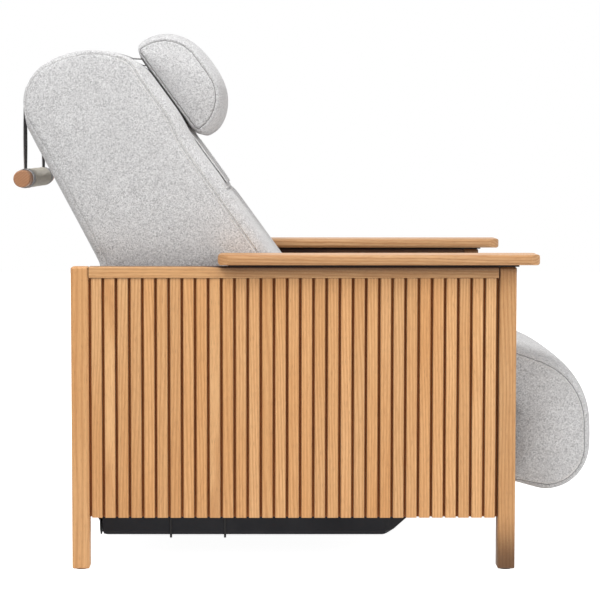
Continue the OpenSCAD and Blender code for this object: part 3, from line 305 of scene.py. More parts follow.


# Paint, bare metal, moulded parts, thread and painted seam shade, each with its own fine grain
def coatedMaterial(name, rgb, roughness, grain, depth=0.0001, gloss=0.5, wear=None, metallic=0.0):
    made = startMaterial(name, roughness, Metallic=metallic, Specular_IOR_Level=gloss)
    tree = made[1]
    place = objectPlace(tree)
    smear = grainNoise(tree, place, 9.0, 3.0, 0.6)
    base = layer(tree, between(tree, smear, 0.3, 0.7), colour(rgb), rgb, 0.78)
    if wear:
        scuff = grainNoise(tree, stretch(tree, place, (40.0, 40.0, 160.0)), 1.0, 4.0, 0.7)
        base = layer(tree, between(tree, scuff, 0.66, 0.74, 0.0, 0.5), base, wear)
    uneven = between(tree, smear, 0.3, 0.7, roughness - 0.08, roughness + 0.08)
    return finished(made, base, grainNoise(tree, place, grain, 2.0, 0.6), depth, 0.5, uneven)


plyLook = {"pale": (222, 194, 150), "dark": (196, 160, 112), "edge": (128, 90, 54), "ply": 0.0014}


def plywoodMaterial(name, look, axis):  # axis is the one through the sheet
    made = startMaterial(name, 0.6)
    tree = made[1]
    place = objectPlace(tree)
    scale = tuple(900.0 if i == axis else (14.0 if i == 1 else 260.0) for i in range(3))
    figure = grainNoise(tree, stretch(tree, place, scale), 1.0, 3.0, 0.6)
    facing = split(tree, vectorCalc(tree, "ABSOLUTE", add(tree, "TexCoord").outputs["Normal"]))
    layers = calc(tree, "PINGPONG", calc(tree, "DIVIDE", split(tree, place)[axis], look["ply"]), 1.0)
    edge = between(tree, facing[axis], 0.7, 0.4)
    base = layer(tree, between(tree, figure, 0.35, 0.7), colour(look["pale"]), look["dark"])
    base = layer(tree, calc(tree, "MULTIPLY", edge, between(tree, layers, 0.45, 0.6, 0.0, 0.7)), base, look["edge"])
    return finished(made, base, figure, 0.0002, 0.5)


slatLow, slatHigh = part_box("slats_right")
slatPitch = (slatHigh.x - slatLow.x + chair["slatGap"] / 1000) / chair["slatCount"]
slatStart = slatLow.x - chair["slatGap"] / 2000
boardLook = dict(oakLook, pale=(198, 122, 64), warm=(180, 106, 52), late=(140, 78, 34), roughness=0.6)
softwoodLook = dict(
    oakLook, pale=(226, 196, 146), warm=(212, 176, 122), late=(182, 138, 84), ringEvery=0.009, roughness=0.6)
beechLook = dict(
    oakLook, pale=(208, 160, 124), warm=(190, 140, 104), late=(148, 98, 66), ringEvery=0.0045, roughness=0.42)
armLook = dict(oakLook, pale=(232, 185, 136), warm=(216, 163, 111))

woods = {  # look, grain, shift of the figure, contrast, tone, painted shade in recesses
    "legOak": (oakLook, "z", (0.31, 0.12, 0.4), 0.85, 1.05),
    "frontLegOak": (oakLook, "z", (0.07, 0.52, 1.7), 0.95, 0.92, 0.8),
    "railOak": (oakLook, "x", (0.2, 0.33, 2.2), 0.9, 0.97, 1.0),
    "slatOak": (oakLook, "z", (0.0, 0.0, 0.0), 0.95, 1.07, 0.42, (slatStart, slatPitch)),
    "armOakRight": (armLook, "x", (0.16, 0.05, 0.9), 1.1, 0.90),
    # the far arm's copy of the arm oak has a lower tone: painted shade
    "armOakLeft": (armLook, "x", (0.43, 0.21, 3.1), 1.1, 0.83),
    "backingBoard": (boardLook, "z", (0.0, 0.0, 0.0), 0.7),
    "crossSoftwood": (softwoodLook, "y", (0.3, 0.2, 0.1)),
    "lowRailSoftwood": (boardLook, "x", (0.1, 0.4, 0.2)),
    "dowelBeech": (beechLook, "y", (0.04, 0.02, 0.3), 1.1),
}
coats = {  # colour, roughness, grain, its depth, gloss, colour of wear, metallic
    "blackSteel": ((24, 23, 24), 0.5, 1600.0, 0.00012, 0.3, (52, 52, 54)),
    "panPlastic": ((44, 45, 49), 0.62, 2200.0, 0.00016, 0.16, (50, 51, 56)),
    "panRim": ((16, 16, 18), 0.6, 2200.0, 0.0001, 0.15),
    "greySteel": ((120, 122, 126), 0.42, 1400.0, 0.0001, 0.5, (158, 160, 164), 0.35),
    "brightSteel": ((186, 188, 190), 0.28, 420.0, 0.00004, 0.5, None, 1.0),
    "bronzeBush": ((176, 132, 78), 0.38, 600.0, 0.00005, 0.5, None, 1.0),
    "footPlastic": ((34, 34, 35), 0.62, 1800.0),
    "driveHousing": ((62, 63, 66), 0.5, 2600.0, 0.00014, 0.5, (88, 88, 92)),
    "seamThread": ((240, 238, 235), 0.8, 3000.0),
    # the next two greys colour the tubes laid in the seam grooves: painted seam shade
    "seamSoft": ((176, 174, 173), 0.9, 2500.0),
    "seamShadow": ((112, 109, 109), 0.9, 2500.0),
}
makers = (
    (woodMaterial, woods), (coatedMaterial, coats),
    (fabricMaterial, {"chairFabric": (fabricLook,), "sleeveFabric": (sleeveFabricLook,)}),
    (webbingMaterial, {"strapWebbing": (webbingLook,), "strapLining": (liningLook,)}),
    (plywoodMaterial, {"seatPly": (plyLook, 2), "panelPly": (plyLook, 0)}),
)
finishes = {name: make(name, *row) for make, rows in makers for name, row in rows.items()}
print("materials made:", len(finishes))

finishNodes = {  # by the start of the node's name
    "legOak": "rear_leg", "frontLegOak": "front_leg", "railOak": "top_rail", "slatOak": "slats",
    "backingBoard": "backing_board", "lowRailSoftwood": "low_rail", "dowelBeech": "counterweight_dowel",
    "crossSoftwood": "rear_stretcher front_stretcher", "seatPly": "seat_board",
    "panelPly": "back_panel calf_board", "armOakRight": "arm_board_right", "armOakLeft": "arm_board_left",
    "blackSteel": "arm_runner underpan_clips", "panPlastic": "underpan",
    "footPlastic": "foot_glides arm_slider", "driveHousing": "control_box back_actuator calf_actuator",
    "brightSteel": "back_actuator_rod calf_actuator_rod back_yoke calf_yoke back_pivot_pins calf_pivot_pins "
                   "back_drive_pin calf_drive_pin frame_bolts arm_screws",
    "bronzeBush": "back_pivot_bushes calf_pivot_bushes",
    "strapWebbing": "strap_drops strap_loops head_straps",
    "chairFabric": "dowel_sleeve back_cushion seat_cushion calf_cushion head_pillow pillow_flap",
}
nodeFinish = {node: finish for finish, names in finishNodes.items() for node in names.split()}


def dressNode(name, obj):
    key = max((k for k in nodeFinish if name == k or name.startswith(k + "_")), key=len, default=None)
    finish = finishes[nodeFinish[key] if key else "greySteel"]
    if not obj.data.materials:
        obj.data.materials.append(finish)
    for slot in obj.material_slots:
        slot.material = finish


for nodeName, nodeObject in nodes.items():
    dressNode(nodeName, nodeObject)
print("frame dressed")


# Mesh helpers
def smoothed(mesh):
    mesh.polygons.foreach_set("use_smooth", [True] * len(mesh.polygons))


def newPiece(name, vertices, faces, finish, smooth=True):
    mesh = bpy.data.meshes.new(name)
    mesh.from_pydata([tuple(v) for v in vertices], [], faces)
    mesh.validate()
    mesh.materials.append(finishes[finish])
    if smooth:
        smoothed(mesh)
    return placed(name, mesh)


def joined(name, parts, *finish):
    bm = bmesh.new()
    for part in parts:
        bm.from_mesh(part.data)
    mesh = bpy.data.meshes.new(name)
    bm.to_mesh(mesh)
    bm.free()
    for key in finish:
        mesh.materials.append(finishes[key])
    for part in parts:
        old = part.data
        bpy.data.objects.remove(part)
        bpy.data.meshes.remove(old)
    smoothed(mesh)
    return placed(name, mesh)


def bandFaces(count, rings, start=0, caps=False, flip=False):  # between closed rings of count points
    found = []
    for j in range(rings - 1):
        near, far = start + j * count, start + (j + 1) * count
        for i in range(count):
            k = (i + 1) % count
            found.append((near + i, near + k, far + k, far + i))
    if caps:
        found.append(tuple(start + i for i in range(count))[::-1])
        found.append(tuple(start + (rings - 1) * count + i for i in range(count)))
    return [face[::-1] for face in found] if flip else found


def shellFaces(row, rows, flip=False):  # two sheets of points, back to back and closed round their rim
    sheet = row * rows
    found = []
    for j in range(rows - 1):
        for i in range(row - 1):
            a = j * row + i
            found.append((a, a + 1, a + row + 1, a + row))
            found.append((sheet + a + row, sheet + a + row + 1, sheet + a + 1, sheet + a))
    rim = list(range(row)) + [j * row + row - 1 for j in range(1, rows)]
    rim += [(rows - 1) * row + i for i in range(row - 2, -1, -1)] + [j * row for j in range(rows - 2, 0, -1)]
    found += [(b, a, sheet + a, sheet + b) for a, b in zip(rim, rim[1:] + rim[:1])]
    return [face[::-1] for face in found] if flip else found


def arc(c, r, a, b, n, wa=0.0, wb=0.0, first=0):  # points as (x, z, share of the crown)
    points = []
    for i in range(first, n + 1):
        t = math.radians(a + (b - a) * i / n)
        points.append((c[0] + r * math.cos(t), c[1] + r * math.sin(t), wa + (wb - wa) * i / n))
    return points


def run(p, q, n, wa=0.0, wb=0.0, last=None):
    ends = ((p[0], q[0]), (p[1], q[1]), (wa, wb))
    steps = range(1, (n if last is None else last) + 1)
    return [tuple(a + (b - a) * i / n for a, b in ends) for i in steps]


def outward(outline):
    found = []
    for i in range(len(outline)):
        a, b = outline[i - 1], outline[(i + 1) % len(outline)]
        t = Vector((b[0] - a[0], b[1] - a[1]))
        found.append(Vector((t.y, -t.x)).normalized())
    return found


def inset(outline, depth):  # points of the outline, drawn in by depth
    return [(p[0] - d.x * depth, p[1] - d.y * depth) for p, d in zip(outline, outward(outline))]


def swell(t):
    return math.sqrt(max(0.0, 1 - t ** 4))


padSteps = {"cap": 9, "capFall": 1.2, "capRound": 2.4, "turn": 10, "across": 14}


# A closed form: an outline in the side view carried across the chair, rounded at its ends
def padForm(name, shape, place):
    outline, middle, half, edge, shrink = (shape[k] for k in ("outline", "middle", "half", "edge", "shrink"))
    dirs = outward(outline)

    def ring(y, push, crown):
        pushes = [push + crown * p[2] for p in outline]
        return [place(p[0] + d.x * s, y, p[1] + d.y * s) for p, d, s in zip(outline, dirs, pushes)]

    def capRings(side):
        made = []
        for k in range(1, padSteps["cap"]):
            share = 1 - (k / padSteps["cap"]) ** padSteps["capFall"]
            y = side * (half - shrink + shape["capSwell"] * (1 - share ** padSteps["capRound"]))
            made.append([
                place(middle[0] + (v - middle[0]) * share, y, middle[1] + (u - middle[1]) * share)
                for v, u in inset(outline, edge + shrink)])
        return made

    stations = []  # distance across, push outward, share of the crown
    edgeSwell = swell((half - edge) / half)
    for a in range(0, 91, padSteps["turn"]):
        t = math.radians(a)
        push = edge * math.sin(t) - edge
        stations.append((half - shrink - edge + edge * math.cos(t), push, edgeSwell * math.sin(t)))
    steps = max(8, int((half - edge) / padSteps["across"]))
    for i in range(1, steps + 1):
        share = 1 - i / steps
        stations.append(((half - shrink - edge) * share, 0.0, swell((half - edge) * share / half)))
    rings = list(reversed(capRings(-1)))
    rings += [ring(-y, push - shrink, shape["crown"] * share) for y, push, share in stations]
    rings += [ring(y, push - shrink, shape["crown"] * share) for y, push, share in reversed(stations[:-1])]
    rings += capRings(1)
    vertices = [p for r in rings for p in r]
    count = len(outline)
    faces = bandFaces(count, len(rings))
    tip = half - shrink + shape["capSwell"]
    for first, side in ((0, -1), ((len(rings) - 1) * count, 1)):
        vertices.append(place(middle[0], side * tip, middle[1]))
        end = len(vertices) - 1
        for i in range(count):
            k = (i + 1) % count
            faces.append((first + k, first + i, end) if side < 0 else (first + i, first + k, end))
    return newPiece(name, vertices, faces, "chairFabric")


def takeEvaluated(obj):
    graph = bpy.context.evaluated_depsgraph_get()
    return bpy.data.meshes.new_from_object(obj.evaluated_get(graph))


def keepMesh(obj, mesh):
    old = obj.data
    materials = list(old.materials)
    obj.modifiers.clear()
    obj.data = mesh
    mesh.materials.clear()
    for material in materials:
        mesh.materials.append(material)
    mesh.name = obj.name
    bpy.data.meshes.remove(old)
    smoothed(mesh)


def remeshed(obj, voxel):
    mod = obj.modifiers.new("even", "REMESH")
    mod.mode = "VOXEL"
    mod.voxel_size = voxel
    mod.use_smooth_shade = True
    relax = obj.modifiers.new("relax", "SMOOTH")
    relax.factor = 0.5
    relax.iterations = 3
    keepMesh(obj, takeEvaluated(obj))


def seamTree(seams):
    points = [p for seam in seams for p in seam]
    tree = kdtree.KDTree(len(points))
    for i, p in enumerate(points):
        tree.insert(p, i)
    tree.balance()
    return tree


def dense(points, step=0.002):
    out = []
    for a, b in zip(points, points[1:]):
        n = max(1, int((b - a).length / step))
        out += [a.lerp(b, i / n) for i in range(n)]
    return out + [points[-1]]


clothLook = {"frames": 20, "quality": 5, "mass": 0.3, "shearShare": 0.6}


# Air pressure in a cloth shell that its seams hold down. How far a point may go is capped
def inflate(obj, look, seams, capAt):
    mesh = obj.data
    start = [v.co.copy() for v in mesh.vertices]
    normals = [v.normal.copy() for v in mesh.vertices]
    tree = seamTree(seams)
    group = obj.vertex_groups.new(name="seamHold")
    for i, p in enumerate(start):
        group.add([i], max(0.0, 1 - tree.find(p)[2] / look["hold"]), "REPLACE")
    mod = obj.modifiers.new("swell", "CLOTH")
    cloth = mod.settings
    cloth.quality = clothLook["quality"]
    cloth.mass = clothLook["mass"]
    cloth.tension_stiffness = cloth.compression_stiffness = look["stiff"]
    cloth.shear_stiffness = look["stiff"] * clothLook["shearShare"]
    cloth.bending_stiffness = look["bend"]
    cloth.use_pressure = True
    cloth.uniform_pressure_force = look["pressure"]
    cloth.effector_weights.gravity = 0
    cloth.vertex_group_mass = "seamHold"
    cloth.pin_stiffness = 1.0
    mod.collision_settings.use_collision = False
    mod.point_cache.frame_start = 1
    mod.point_cache.frame_end = clothLook["frames"]
    for f in range(1, clothLook["frames"] + 1):
        scene.frame_set(f)
    result = takeEvaluated(obj)
    ended = [v.co.copy() for v in result.vertices]
    bpy.data.meshes.remove(result)
    obj.modifiers.clear()
    obj.vertex_groups.clear()
    scene.frame_set(1)
    most = 0.0
    for i, v in enumerate(mesh.vertices):
        move = ended[i] - start[i]
        cap = capAt(start[i], normals[i])
        length = move.length
        if length > 1e-9:
            move *= cap * math.tanh(length / cap) / length
        most = max(most, move.length)
        v.co = start[i] + move
    mesh.update()
    print("  swelled", obj.name, "by up to", round(most * 1000, 1), "mm")


def subdivided(obj):
    mod = obj.modifiers.new("finer", "SUBSURF")
    mod.levels = mod.render_levels = 1
    keepMesh(obj, takeEvaluated(obj))


# Groove along the seams, on a mesh that is made finer there first
def grooved(obj, seams, depth, radius):
    tree = seamTree(seams)
    bm = bmesh.new()
    bm.from_mesh(obj.data)
    near = {v for v in bm.verts if tree.find(v.co)[2] < radius * 1.7}
    edges = [e for e in bm.edges if e.verts[0] in near and e.verts[1] in near]
    bmesh.ops.subdivide_edges(bm, edges=edges, cuts=1, use_grid_fill=True)
    bm.normal_update()
    moves = []
    for v in bm.verts:
        distance = tree.find(v.co)[2]
        if distance < radius:
            moves.append((v, v.normal * (-depth * (1 - (distance / radius) ** 2) ** 2)))
    for v, move in moves:
        v.co += move
    bm.to_mesh(obj.data)
    bm.free()
    smoothed(obj.data)
    obj.data.update()


def surfaceOf(obj):
    mesh = obj.data
    return BVHTree.FromPolygons([v.co for v in mesh.vertices], [tuple(p.vertices) for p in mesh.polygons])


def onSurface(surface, points, lift=0.0):
    found = []
    for p in points:
        place, normal, _, _ = surface.find_nearest(p)
        found.append((place + normal * lift, normal))
    return found


def thread(name, path, radius, finish, sides=6):
    vertices = []
    for i, (p, normal) in enumerate(path):
        along = (path[min(i + 1, len(path) - 1)][0] - path[max(i - 1, 0)][0]).normalized()
        side = along.cross(normal).normalized()
        up = side.cross(along)
        for k in range(sides):
            t = math.tau * k / sides
            vertices.append(p + side * (radius * math.cos(t)) + up * (radius * math.sin(t)))
    return newPiece(name, vertices, bandFaces(sides, len(path), caps=True), finish)


# Stitches: short thread capsules laid along a line on the surface
stitchLook = {
    "length": 0.0036, "every": 0.0050, "radius": 0.00085, "sink": 0.00020, "high": 0.9, "dive": 2.6,
    "profile": ((-0.5, 0.35), (-0.3, 0.95), (0.0, 1.1), (0.3, 0.95), (0.5, 0.35)), "sides": 6, "step": 0.001,
}


def stitchRow(name, surface, points, look):
    path = onSurface(surface, dense(points, look["step"]))
    lengths = [0.0]
    for a, b in zip(path, path[1:]):
        lengths.append(lengths[-1] + (b[0] - a[0]).length)
    vertices, faces = [], []
    at, index = look["every"] / 2, 0
    while at < lengths[-1] - look["every"]:
        while lengths[index] < at:
            index += 1
        p, normal = path[index]
        ahead = path[min(index + 3, len(path) - 1)][0] - path[max(index - 3, 0)][0]
        along = ahead.normalized() if ahead.length > 1e-9 else Vector((1, 0, 0))
        side = along.cross(normal).normalized()
        faces += bandFaces(look["sides"], len(look["profile"]), len(vertices), caps=True)
        for t, r in look["profile"]:
            middle = p + along * (t * look["length"])
            lift = look["radius"] * (look["high"] - look["dive"] * t * t) - look["sink"]
            for k in range(look["sides"]):
                turn = math.tau * k / look["sides"]
                across = side * (look["radius"] * r * math.cos(turn))
                vertices.append(middle + across + normal * (lift + look["radius"] * r * math.sin(turn)))
        at += look["every"]
    return newPiece(name, vertices, faces, "seamThread")


# Makes one padded piece from its shape, with its seams and stitches, and gives its surface
def padded(name, shape, place, body, replaced):
    obj = padForm(name, shape, place)
    remeshed(obj, shape["voxel"])
    seams = [dense(s) for s in shape["seams"](place)]
    rough = surfaceOf(obj)
    held = [[p for p, _ in onSurface(rough, s)] for s in seams]
    inflate(obj, shape["air"], held, shape["cap"])
    subdivided(obj)
    surface = surfaceOf(obj)
    seams = [[p for p, _ in onSurface(surface, s)] for s in seams]
    grooved(obj, seams, shape["grooveDepth"], shape["grooveWidth"])
    surface = surfaceOf(obj)
    # painted shade: a thin tube in a grey darker than the cloth lies along each seam groove
    finish = shape.get("thread", "seamShadow")
    lines = [onSurface(surface, s[::2], -0.0002) for s in seams]
    threads = [thread(name + "Thread", line, shape["seamShadeRadius"], finish) for line in lines]
    extras = [joined(name + "Seams", threads, finish)]
    rows = [stitchRow(name + "Row", surface, r, stitchLook) for r in shape["rows"](place)]
    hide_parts(*replaced)
    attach(obj, body)
    if rows:
        extras.append(joined(name + "Stitches", rows, "seamThread"))
    for extra in extras:
        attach(extra, body)
    print(name, "made:", len(obj.data.polygons), "faces")
    return surface


# Backrest
backShape = {
    "face": 30.4, "height": 839.6, "depth": 302.4, "cornerU": 436.9, "edgeL": 26.0, "half": 290.0,
    "cornerR": 72.3, "cornerEnd": 39.8, "topR": 219.9, "topEnd": 81.3, "rearR": 101.1,
    "bulge": 10.8, "bulgeFrom": 518.0, "bulgeRun": 90.0, "rollTop": 110.0, "topCrown": 0.5, "rearCrown": 0.3,
    "edge": 8.0, "crown": 4.0, "capSwell": 4.0, "shrink": 2.0, "voxel": 0.0094,
    "grooveDepth": 0.0013, "grooveWidth": 0.0046, "seamShadeRadius": 0.0006, "thread": "seamSoft",
    "seamLow": 30.0, "seamRear": -282.0, "yokeU": 404.0, "yokeHalf": 266, "rowGap": 3.2, "rowLow": 40.0,
    "rowTop": 775.0, "yokeRows": (400.5, 407.5), "yokeRowHalf": 262,
    "air": {"pressure": 4.0, "stiff": 14.0, "bend": 0.6, "hold": 0.012},
}


def bulgeShare(look, u):  # the face stands fuller and flatter behind the pillow
    t = max(0.0, min(1.0, (u - look["bulgeFrom"]) / look["bulgeRun"]))
    return t * t * (3 - 2 * t)


def backCentres(look):  # of the corner, the top and the rear round, which pass into each other
    a, b = math.radians(look["cornerEnd"]), math.radians(look["topEnd"])
    toTop, toRear = look["cornerR"] - look["topR"], look["topR"] - look["rearR"]
    rise = toTop * math.sin(a) + toRear * math.sin(b)
    corner = (look["face"] + look["bulge"] - look["cornerR"], look["height"] - look["rearR"] - rise)
    top = (corner[0] + toTop * math.cos(a), corner[1] + toTop * math.sin(a))
    return corner, top, (top[0] + toRear * math.cos(b), top[1] + toRear * math.sin(b))


def leaveAngle(centre, radius, point, turn):  # where a straight run from the arc to the point leaves the arc
    dx, dy = point[0] - centre[0], point[1] - centre[1]
    away = math.degrees(math.acos(radius / math.hypot(dx, dy)))
    return math.degrees(math.atan2(dy, dx) % math.tau) + turn * away


def backOutline(look):
    front, top, rear = backCentres(look)
    face, flat, rearFlat, rollTop = (look[k] for k in ("face", "topCrown", "rearCrown", "rollTop"))
    corner = (face - look["depth"], look["cornerU"])
    lean = math.radians(chair["coverLean"])
    low = (corner[0] - look["edgeL"] * math.sin(lean), corner[1] - look["edgeL"] * math.cos(lean))
    foot = leaveAngle((0, 0), face, low, 1)
    points = arc((0, 0), face, foot, 360, 12)
    points += run((face, 0), (face, rollTop), 10, 0, 1)
    for v, u, _ in run((face, rollTop), (face, front[1]), 52):
        share = bulgeShare(look, u)
        points.append((v + look["bulge"] * share, u, 1 - (1 - flat) * share))
    points += arc(front, look["cornerR"], 0, look["cornerEnd"], 8, flat, flat, 1)
    points += arc(top, look["topR"], look["cornerEnd"], look["topEnd"], 12, flat, flat, 1)
    rearEnd = leaveAngle(rear, look["rearR"], corner, -1)
    points += arc(rear, look["rearR"], look["topEnd"], rearEnd, 22, flat, rearFlat, 1)
    points += run(points[-1], corner, 24, rearFlat, rearFlat)
    points += run(corner, low, 2)
    footPoint = (face * math.cos(math.radians(foot)), face * math.sin(math.radians(foot)))
    return points + run(low, footPoint, 40, 0, 0, 39)


backShape["outline"] = backOutline(backShape)
backShape["middle"] = (backShape["face"] - backShape["depth"] / 2, backShape["cornerU"])


def backInset(u, v):  # how far inside the outline the side seam runs
    top = max(0.0, min(1.0, (u - 690) / 110))
    front = 27.0 - 8.0 * min(1.0, u / 700)
    front = front * (1 - top) + 8.0 * top
    rear = 15.0 * (1 - top) + 6.0 * top
    share = max(0.0, min(1.0, (v + 140) / 60 + 0.5))
    return front * share + rear * (1 - share)


def backSideLine(extra, place, side, wanted):
    outline = backShape["outline"]
    points = []
    for p, d in zip(outline, outward(outline)):
        if wanted(p):
            depth = backInset(p[1], p[0]) + extra
            points.append(place(p[0] - d.x * depth, side * (backShape["half"] + 1), p[1] - d.y * depth))
    return points


def backAcross(place, u, half):
    return [place(backShape["face"] + 8, y, u) for y in range(-half, half + 1, 7)]


def backSeams(place):
    look = backShape
    lines = [
        backSideLine(0, place, side, lambda p: p[1] >= look["seamLow"] and p[0] > look["seamRear"])
        for side in (-1, 1)]
    return lines + [backAcross(place, look["yokeU"], look["yokeHalf"])]


def backRows(place):
    look = backShape
    rows = []
    for side in (-1, 1):
        for extra in (-look["rowGap"], look["rowGap"]):
            rows.append(backSideLine(
                extra, place, side, lambda p: p[0] > 0 and look["rowLow"] <= p[1] < look["rowTop"]))
    return rows + [backAcross(place, u, look["yokeRowHalf"]) for u in look["yokeRows"]]


backShape["seams"] = backSeams
backShape["rows"] = backRows
backShape["cap"] = lambda p, n: 0.0035 if abs(n.y) > 0.7 else (0.0022 if p.z < 0.53 else 0.0036)
backSurface = padded("backCover", backShape, onBack, "backrest", ["back_cushion"])


# Head pillow, a D-shaped bolster with sewn ends
pillowShape = {
    "v": 44.3, "u": 539.6, "height": 216.8, "depth": 100.2, "half": 178.0, "edge": 9.0, "crown": 21.0,
    "capSwell": 11.0, "frontR": 84.0, "backR": 14.0, "shrink": 3.0, "voxel": 0.0042,
    "grooveDepth": 0.0022, "grooveWidth": 0.0042, "seamShadeRadius": 0.0007, "rows": lambda place: [],
    "air": {"pressure": 4.5, "stiff": 10.0, "bend": 0.3, "hold": 0.008},
}


def pillowOutline(look):
    v, u, d, h, f, b = (look[k] for k in ("v", "u", "depth", "height", "frontR", "backR"))
    points = arc((v + b, u + b), b, 180, 225, 4)
    points += arc((v + b, u + b), b, 225, 270, 4, 0, 1, 1)
    points += arc((v + d - f, u + f), f, 270, 360, 18, 1, 1)
    points += arc((v + d - f, u + h - f), f, 0, 90, 18, 1, 0.75)
    points += arc((v + b, u + h - b), b, 90, 135, 4, 0.75, 0)
    points += arc((v + b, u + h - b), b, 135, 180, 4, 0, 0, 1)
    points += run((v, u + h - b), (v, u + b), 26, 0, 0, 25)
    cleaned = []
    for p in points:
        if not cleaned or math.hypot(p[0] - cleaned[-1][0], p[1] - cleaned[-1][1]) > 0.4:
            cleaned.append(p)
    return cleaned


def capLine(shape, place, side, depth):
    points = [place(v, side * (shape["half"] + 2.0), u) for v, u in inset(shape["outline"], depth)]
    return points + [points[0]]


pillowShape["outline"] = pillowOutline(pillowShape)
pillowShape["middle"] = (
    pillowShape["v"] + pillowShape["depth"] / 2, pillowShape["u"] + pillowShape["height"] / 2)
pillowShape["seams"] = lambda place: [capLine(pillowShape, place, side, 1.5) for side in (-1, 1)]
pillowShape["cap"] = lambda p, n: 0.0042
padded("pillowCover", pillowShape, onBack, "pillow", ["head_pillow"])

# Calf rest. Its cover goes round the board, to just behind it
calfShape = {
    "nose": (878.0, 418.5), "noseR": 33.0, "upper": (926.0, 286.0), "upperR": 141.0,
    "lower": (984.0, 238.0), "lowerR": 84.0, "heel": (905.8, 166.0), "tuck": (905.8, 381.0),
    "middle": (965.0, 268.0), "half": 268.0, "edge": 9.0, "crown": 21.0, "capSwell": 8.0, "shrink": 0.5,
    "voxel": 0.0062, "grooveDepth": 0.0020, "grooveWidth": 0.0046, "seamShadeRadius": 0.0007,
    "seamInset": 1.0, "rowInset": 6.5, "rowPoints": 72,
    "air": {"pressure": 4.0, "stiff": 12.0, "bend": 0.4, "hold": 0.010},
}


def calfOutline(look):
    nose, noseR, upper, upperR, lower, lowerR, heel, tuck = (
        look[k] for k in ("nose", "noseR", "upper", "upperR", "lower", "lowerR", "heel", "tuck"))
    span = (nose[0] - upper[0], nose[1] - upper[1])
    topAngle = math.degrees(math.atan2(span[1], span[0]) - math.acos((upperR - noseR) / math.hypot(*span)))
    points = run(heel, (lower[0], lower[1] - lowerR), 10, 0, 0.8)
    points += arc(lower, lowerR, 270, 360, 20, 0.8, 1, 1)
    points += arc(upper, upperR, 0, topAngle, 20, 1, 1, 1)
    points += run(points[-1], arc(nose, noseR, topAngle, topAngle, 1)[0], 8, 1, 1)
    points += arc(nose, noseR, topAngle, 190, 12, 1, 1, 1)
    points += arc(nose, noseR, 190, 270, 10, 1, 0, 1)
    points += run((nose[0], nose[1] - noseR), tuck, 6)
    return points + run(tuck, heel, 30)


def calfLines(place, depth, count):
    return [capLine(calfShape, place, side, depth)[:-1][:count] for side in (-1, 1)]


calfShape["outline"] = calfOutline(calfShape)
calfShape["seams"] = lambda place: calfLines(place, calfShape["seamInset"], None)
calfShape["rows"] = lambda place: calfLines(place, calfShape["rowInset"], calfShape["rowPoints"])
calfShape["cap"] = lambda p, n: 0.0008 if p.x < 0.446 else 0.0045
padded("calfCover", calfShape, onChair, "calf_rest", ["calf_cushion"])

# Seat
seatShape = {
    "x": 565.0, "front": 821.0, "z": 401.3, "height": 45.0, "edgeR": 20.0, "half": 290.0, "edge": 18.0,
    "crown": 20.0, "capSwell": 2.0, "shrink": 2.5, "voxel": 0.0066, "grooveDepth": 0.0018,
    "grooveWidth": 0.0046, "seamShadeRadius": 0.0007, "seamDrop": 13.0, "seamTurn": 12.0, "rows": lambda place: [],
    "air": {"pressure": 4.0, "stiff": 12.0, "bend": 0.4, "hold": 0.010},
}


def seatOutline(look):
    x, f, z, h, r = (look[k] for k in ("x", "front", "z", "height", "edgeR"))
    points = arc((x + r / 2, z + r / 2), r / 2, 180, 270, 6)
    points += run((x + r / 2, z), (f - r / 2, z), 22, 0, 0, 21)
    points += arc((f - r / 2, z + r / 2), r / 2, 270, 360, 6)
    points += arc((f - r, z + h - r), r, 0, 90, 10, 0, 0.5)
    points += run((f - r, z + h), (x + r, z + h), 28, 0.5, 0.5, 27)
    return points + arc((x + r, z + h - r), r, 90, 180, 10, 0.5, 0)


seatShape["outline"] = seatOutline(seatShape)
seatShape["middle"] = ((seatShape["x"] + seatShape["front"]) / 2, seatShape["z"] + seatShape["height"] / 2)


def seatSeams(place):  # one seam that goes round all four sides
    x, f, z, h, half, turn = (seatShape[k] for k in ("x", "front", "z", "height", "half", "seamTurn"))
    level = z + h - seatShape["seamDrop"]
    across = range(-270, 271, 6)
    along = [(f - x - 2 * turn) * s / 40 for s in range(0, 41)]
    loop = [place(f + 1, y, level) for y in across]
    loop += [place(f - turn - s, half + 1, level) for s in along]
    loop += [place(x - 1, -y, level) for y in across]
    loop += [place(x + turn + s, -half - 1, level) for s in along]
    return [loop + [loop[0]]]


seatShape["seams"] = seatSeams
seatShape["cap"] = lambda p, n: 0.0055 if n.z > 0.4 else 0.0018
padded("seatCover", seatShape, onChair, "base", ["seat_cushion"])
print("cushions done")

# Flap that hangs from the pillow down the backrest, soft and thin, with a sewn hem
flapLook = {
    "v": 36.6, "thick": 2.2, "low": 415.0, "top": 560.0, "half": 165.0, "edge": 2.0, "wide": 66, "tall": 34,
    "gather": 0.45, "quilt": 0.55, "quiltRun": 46.0, "ripple": 0.15, "hem": 0.5, "hemIn": 9.0, "hemWide": 1.7,
    "backShare": 0.2, "sewnIn": 6.0, "sewnUp": range(425, 539, 6), "sewnAcross": range(-158, 159, 6),
}


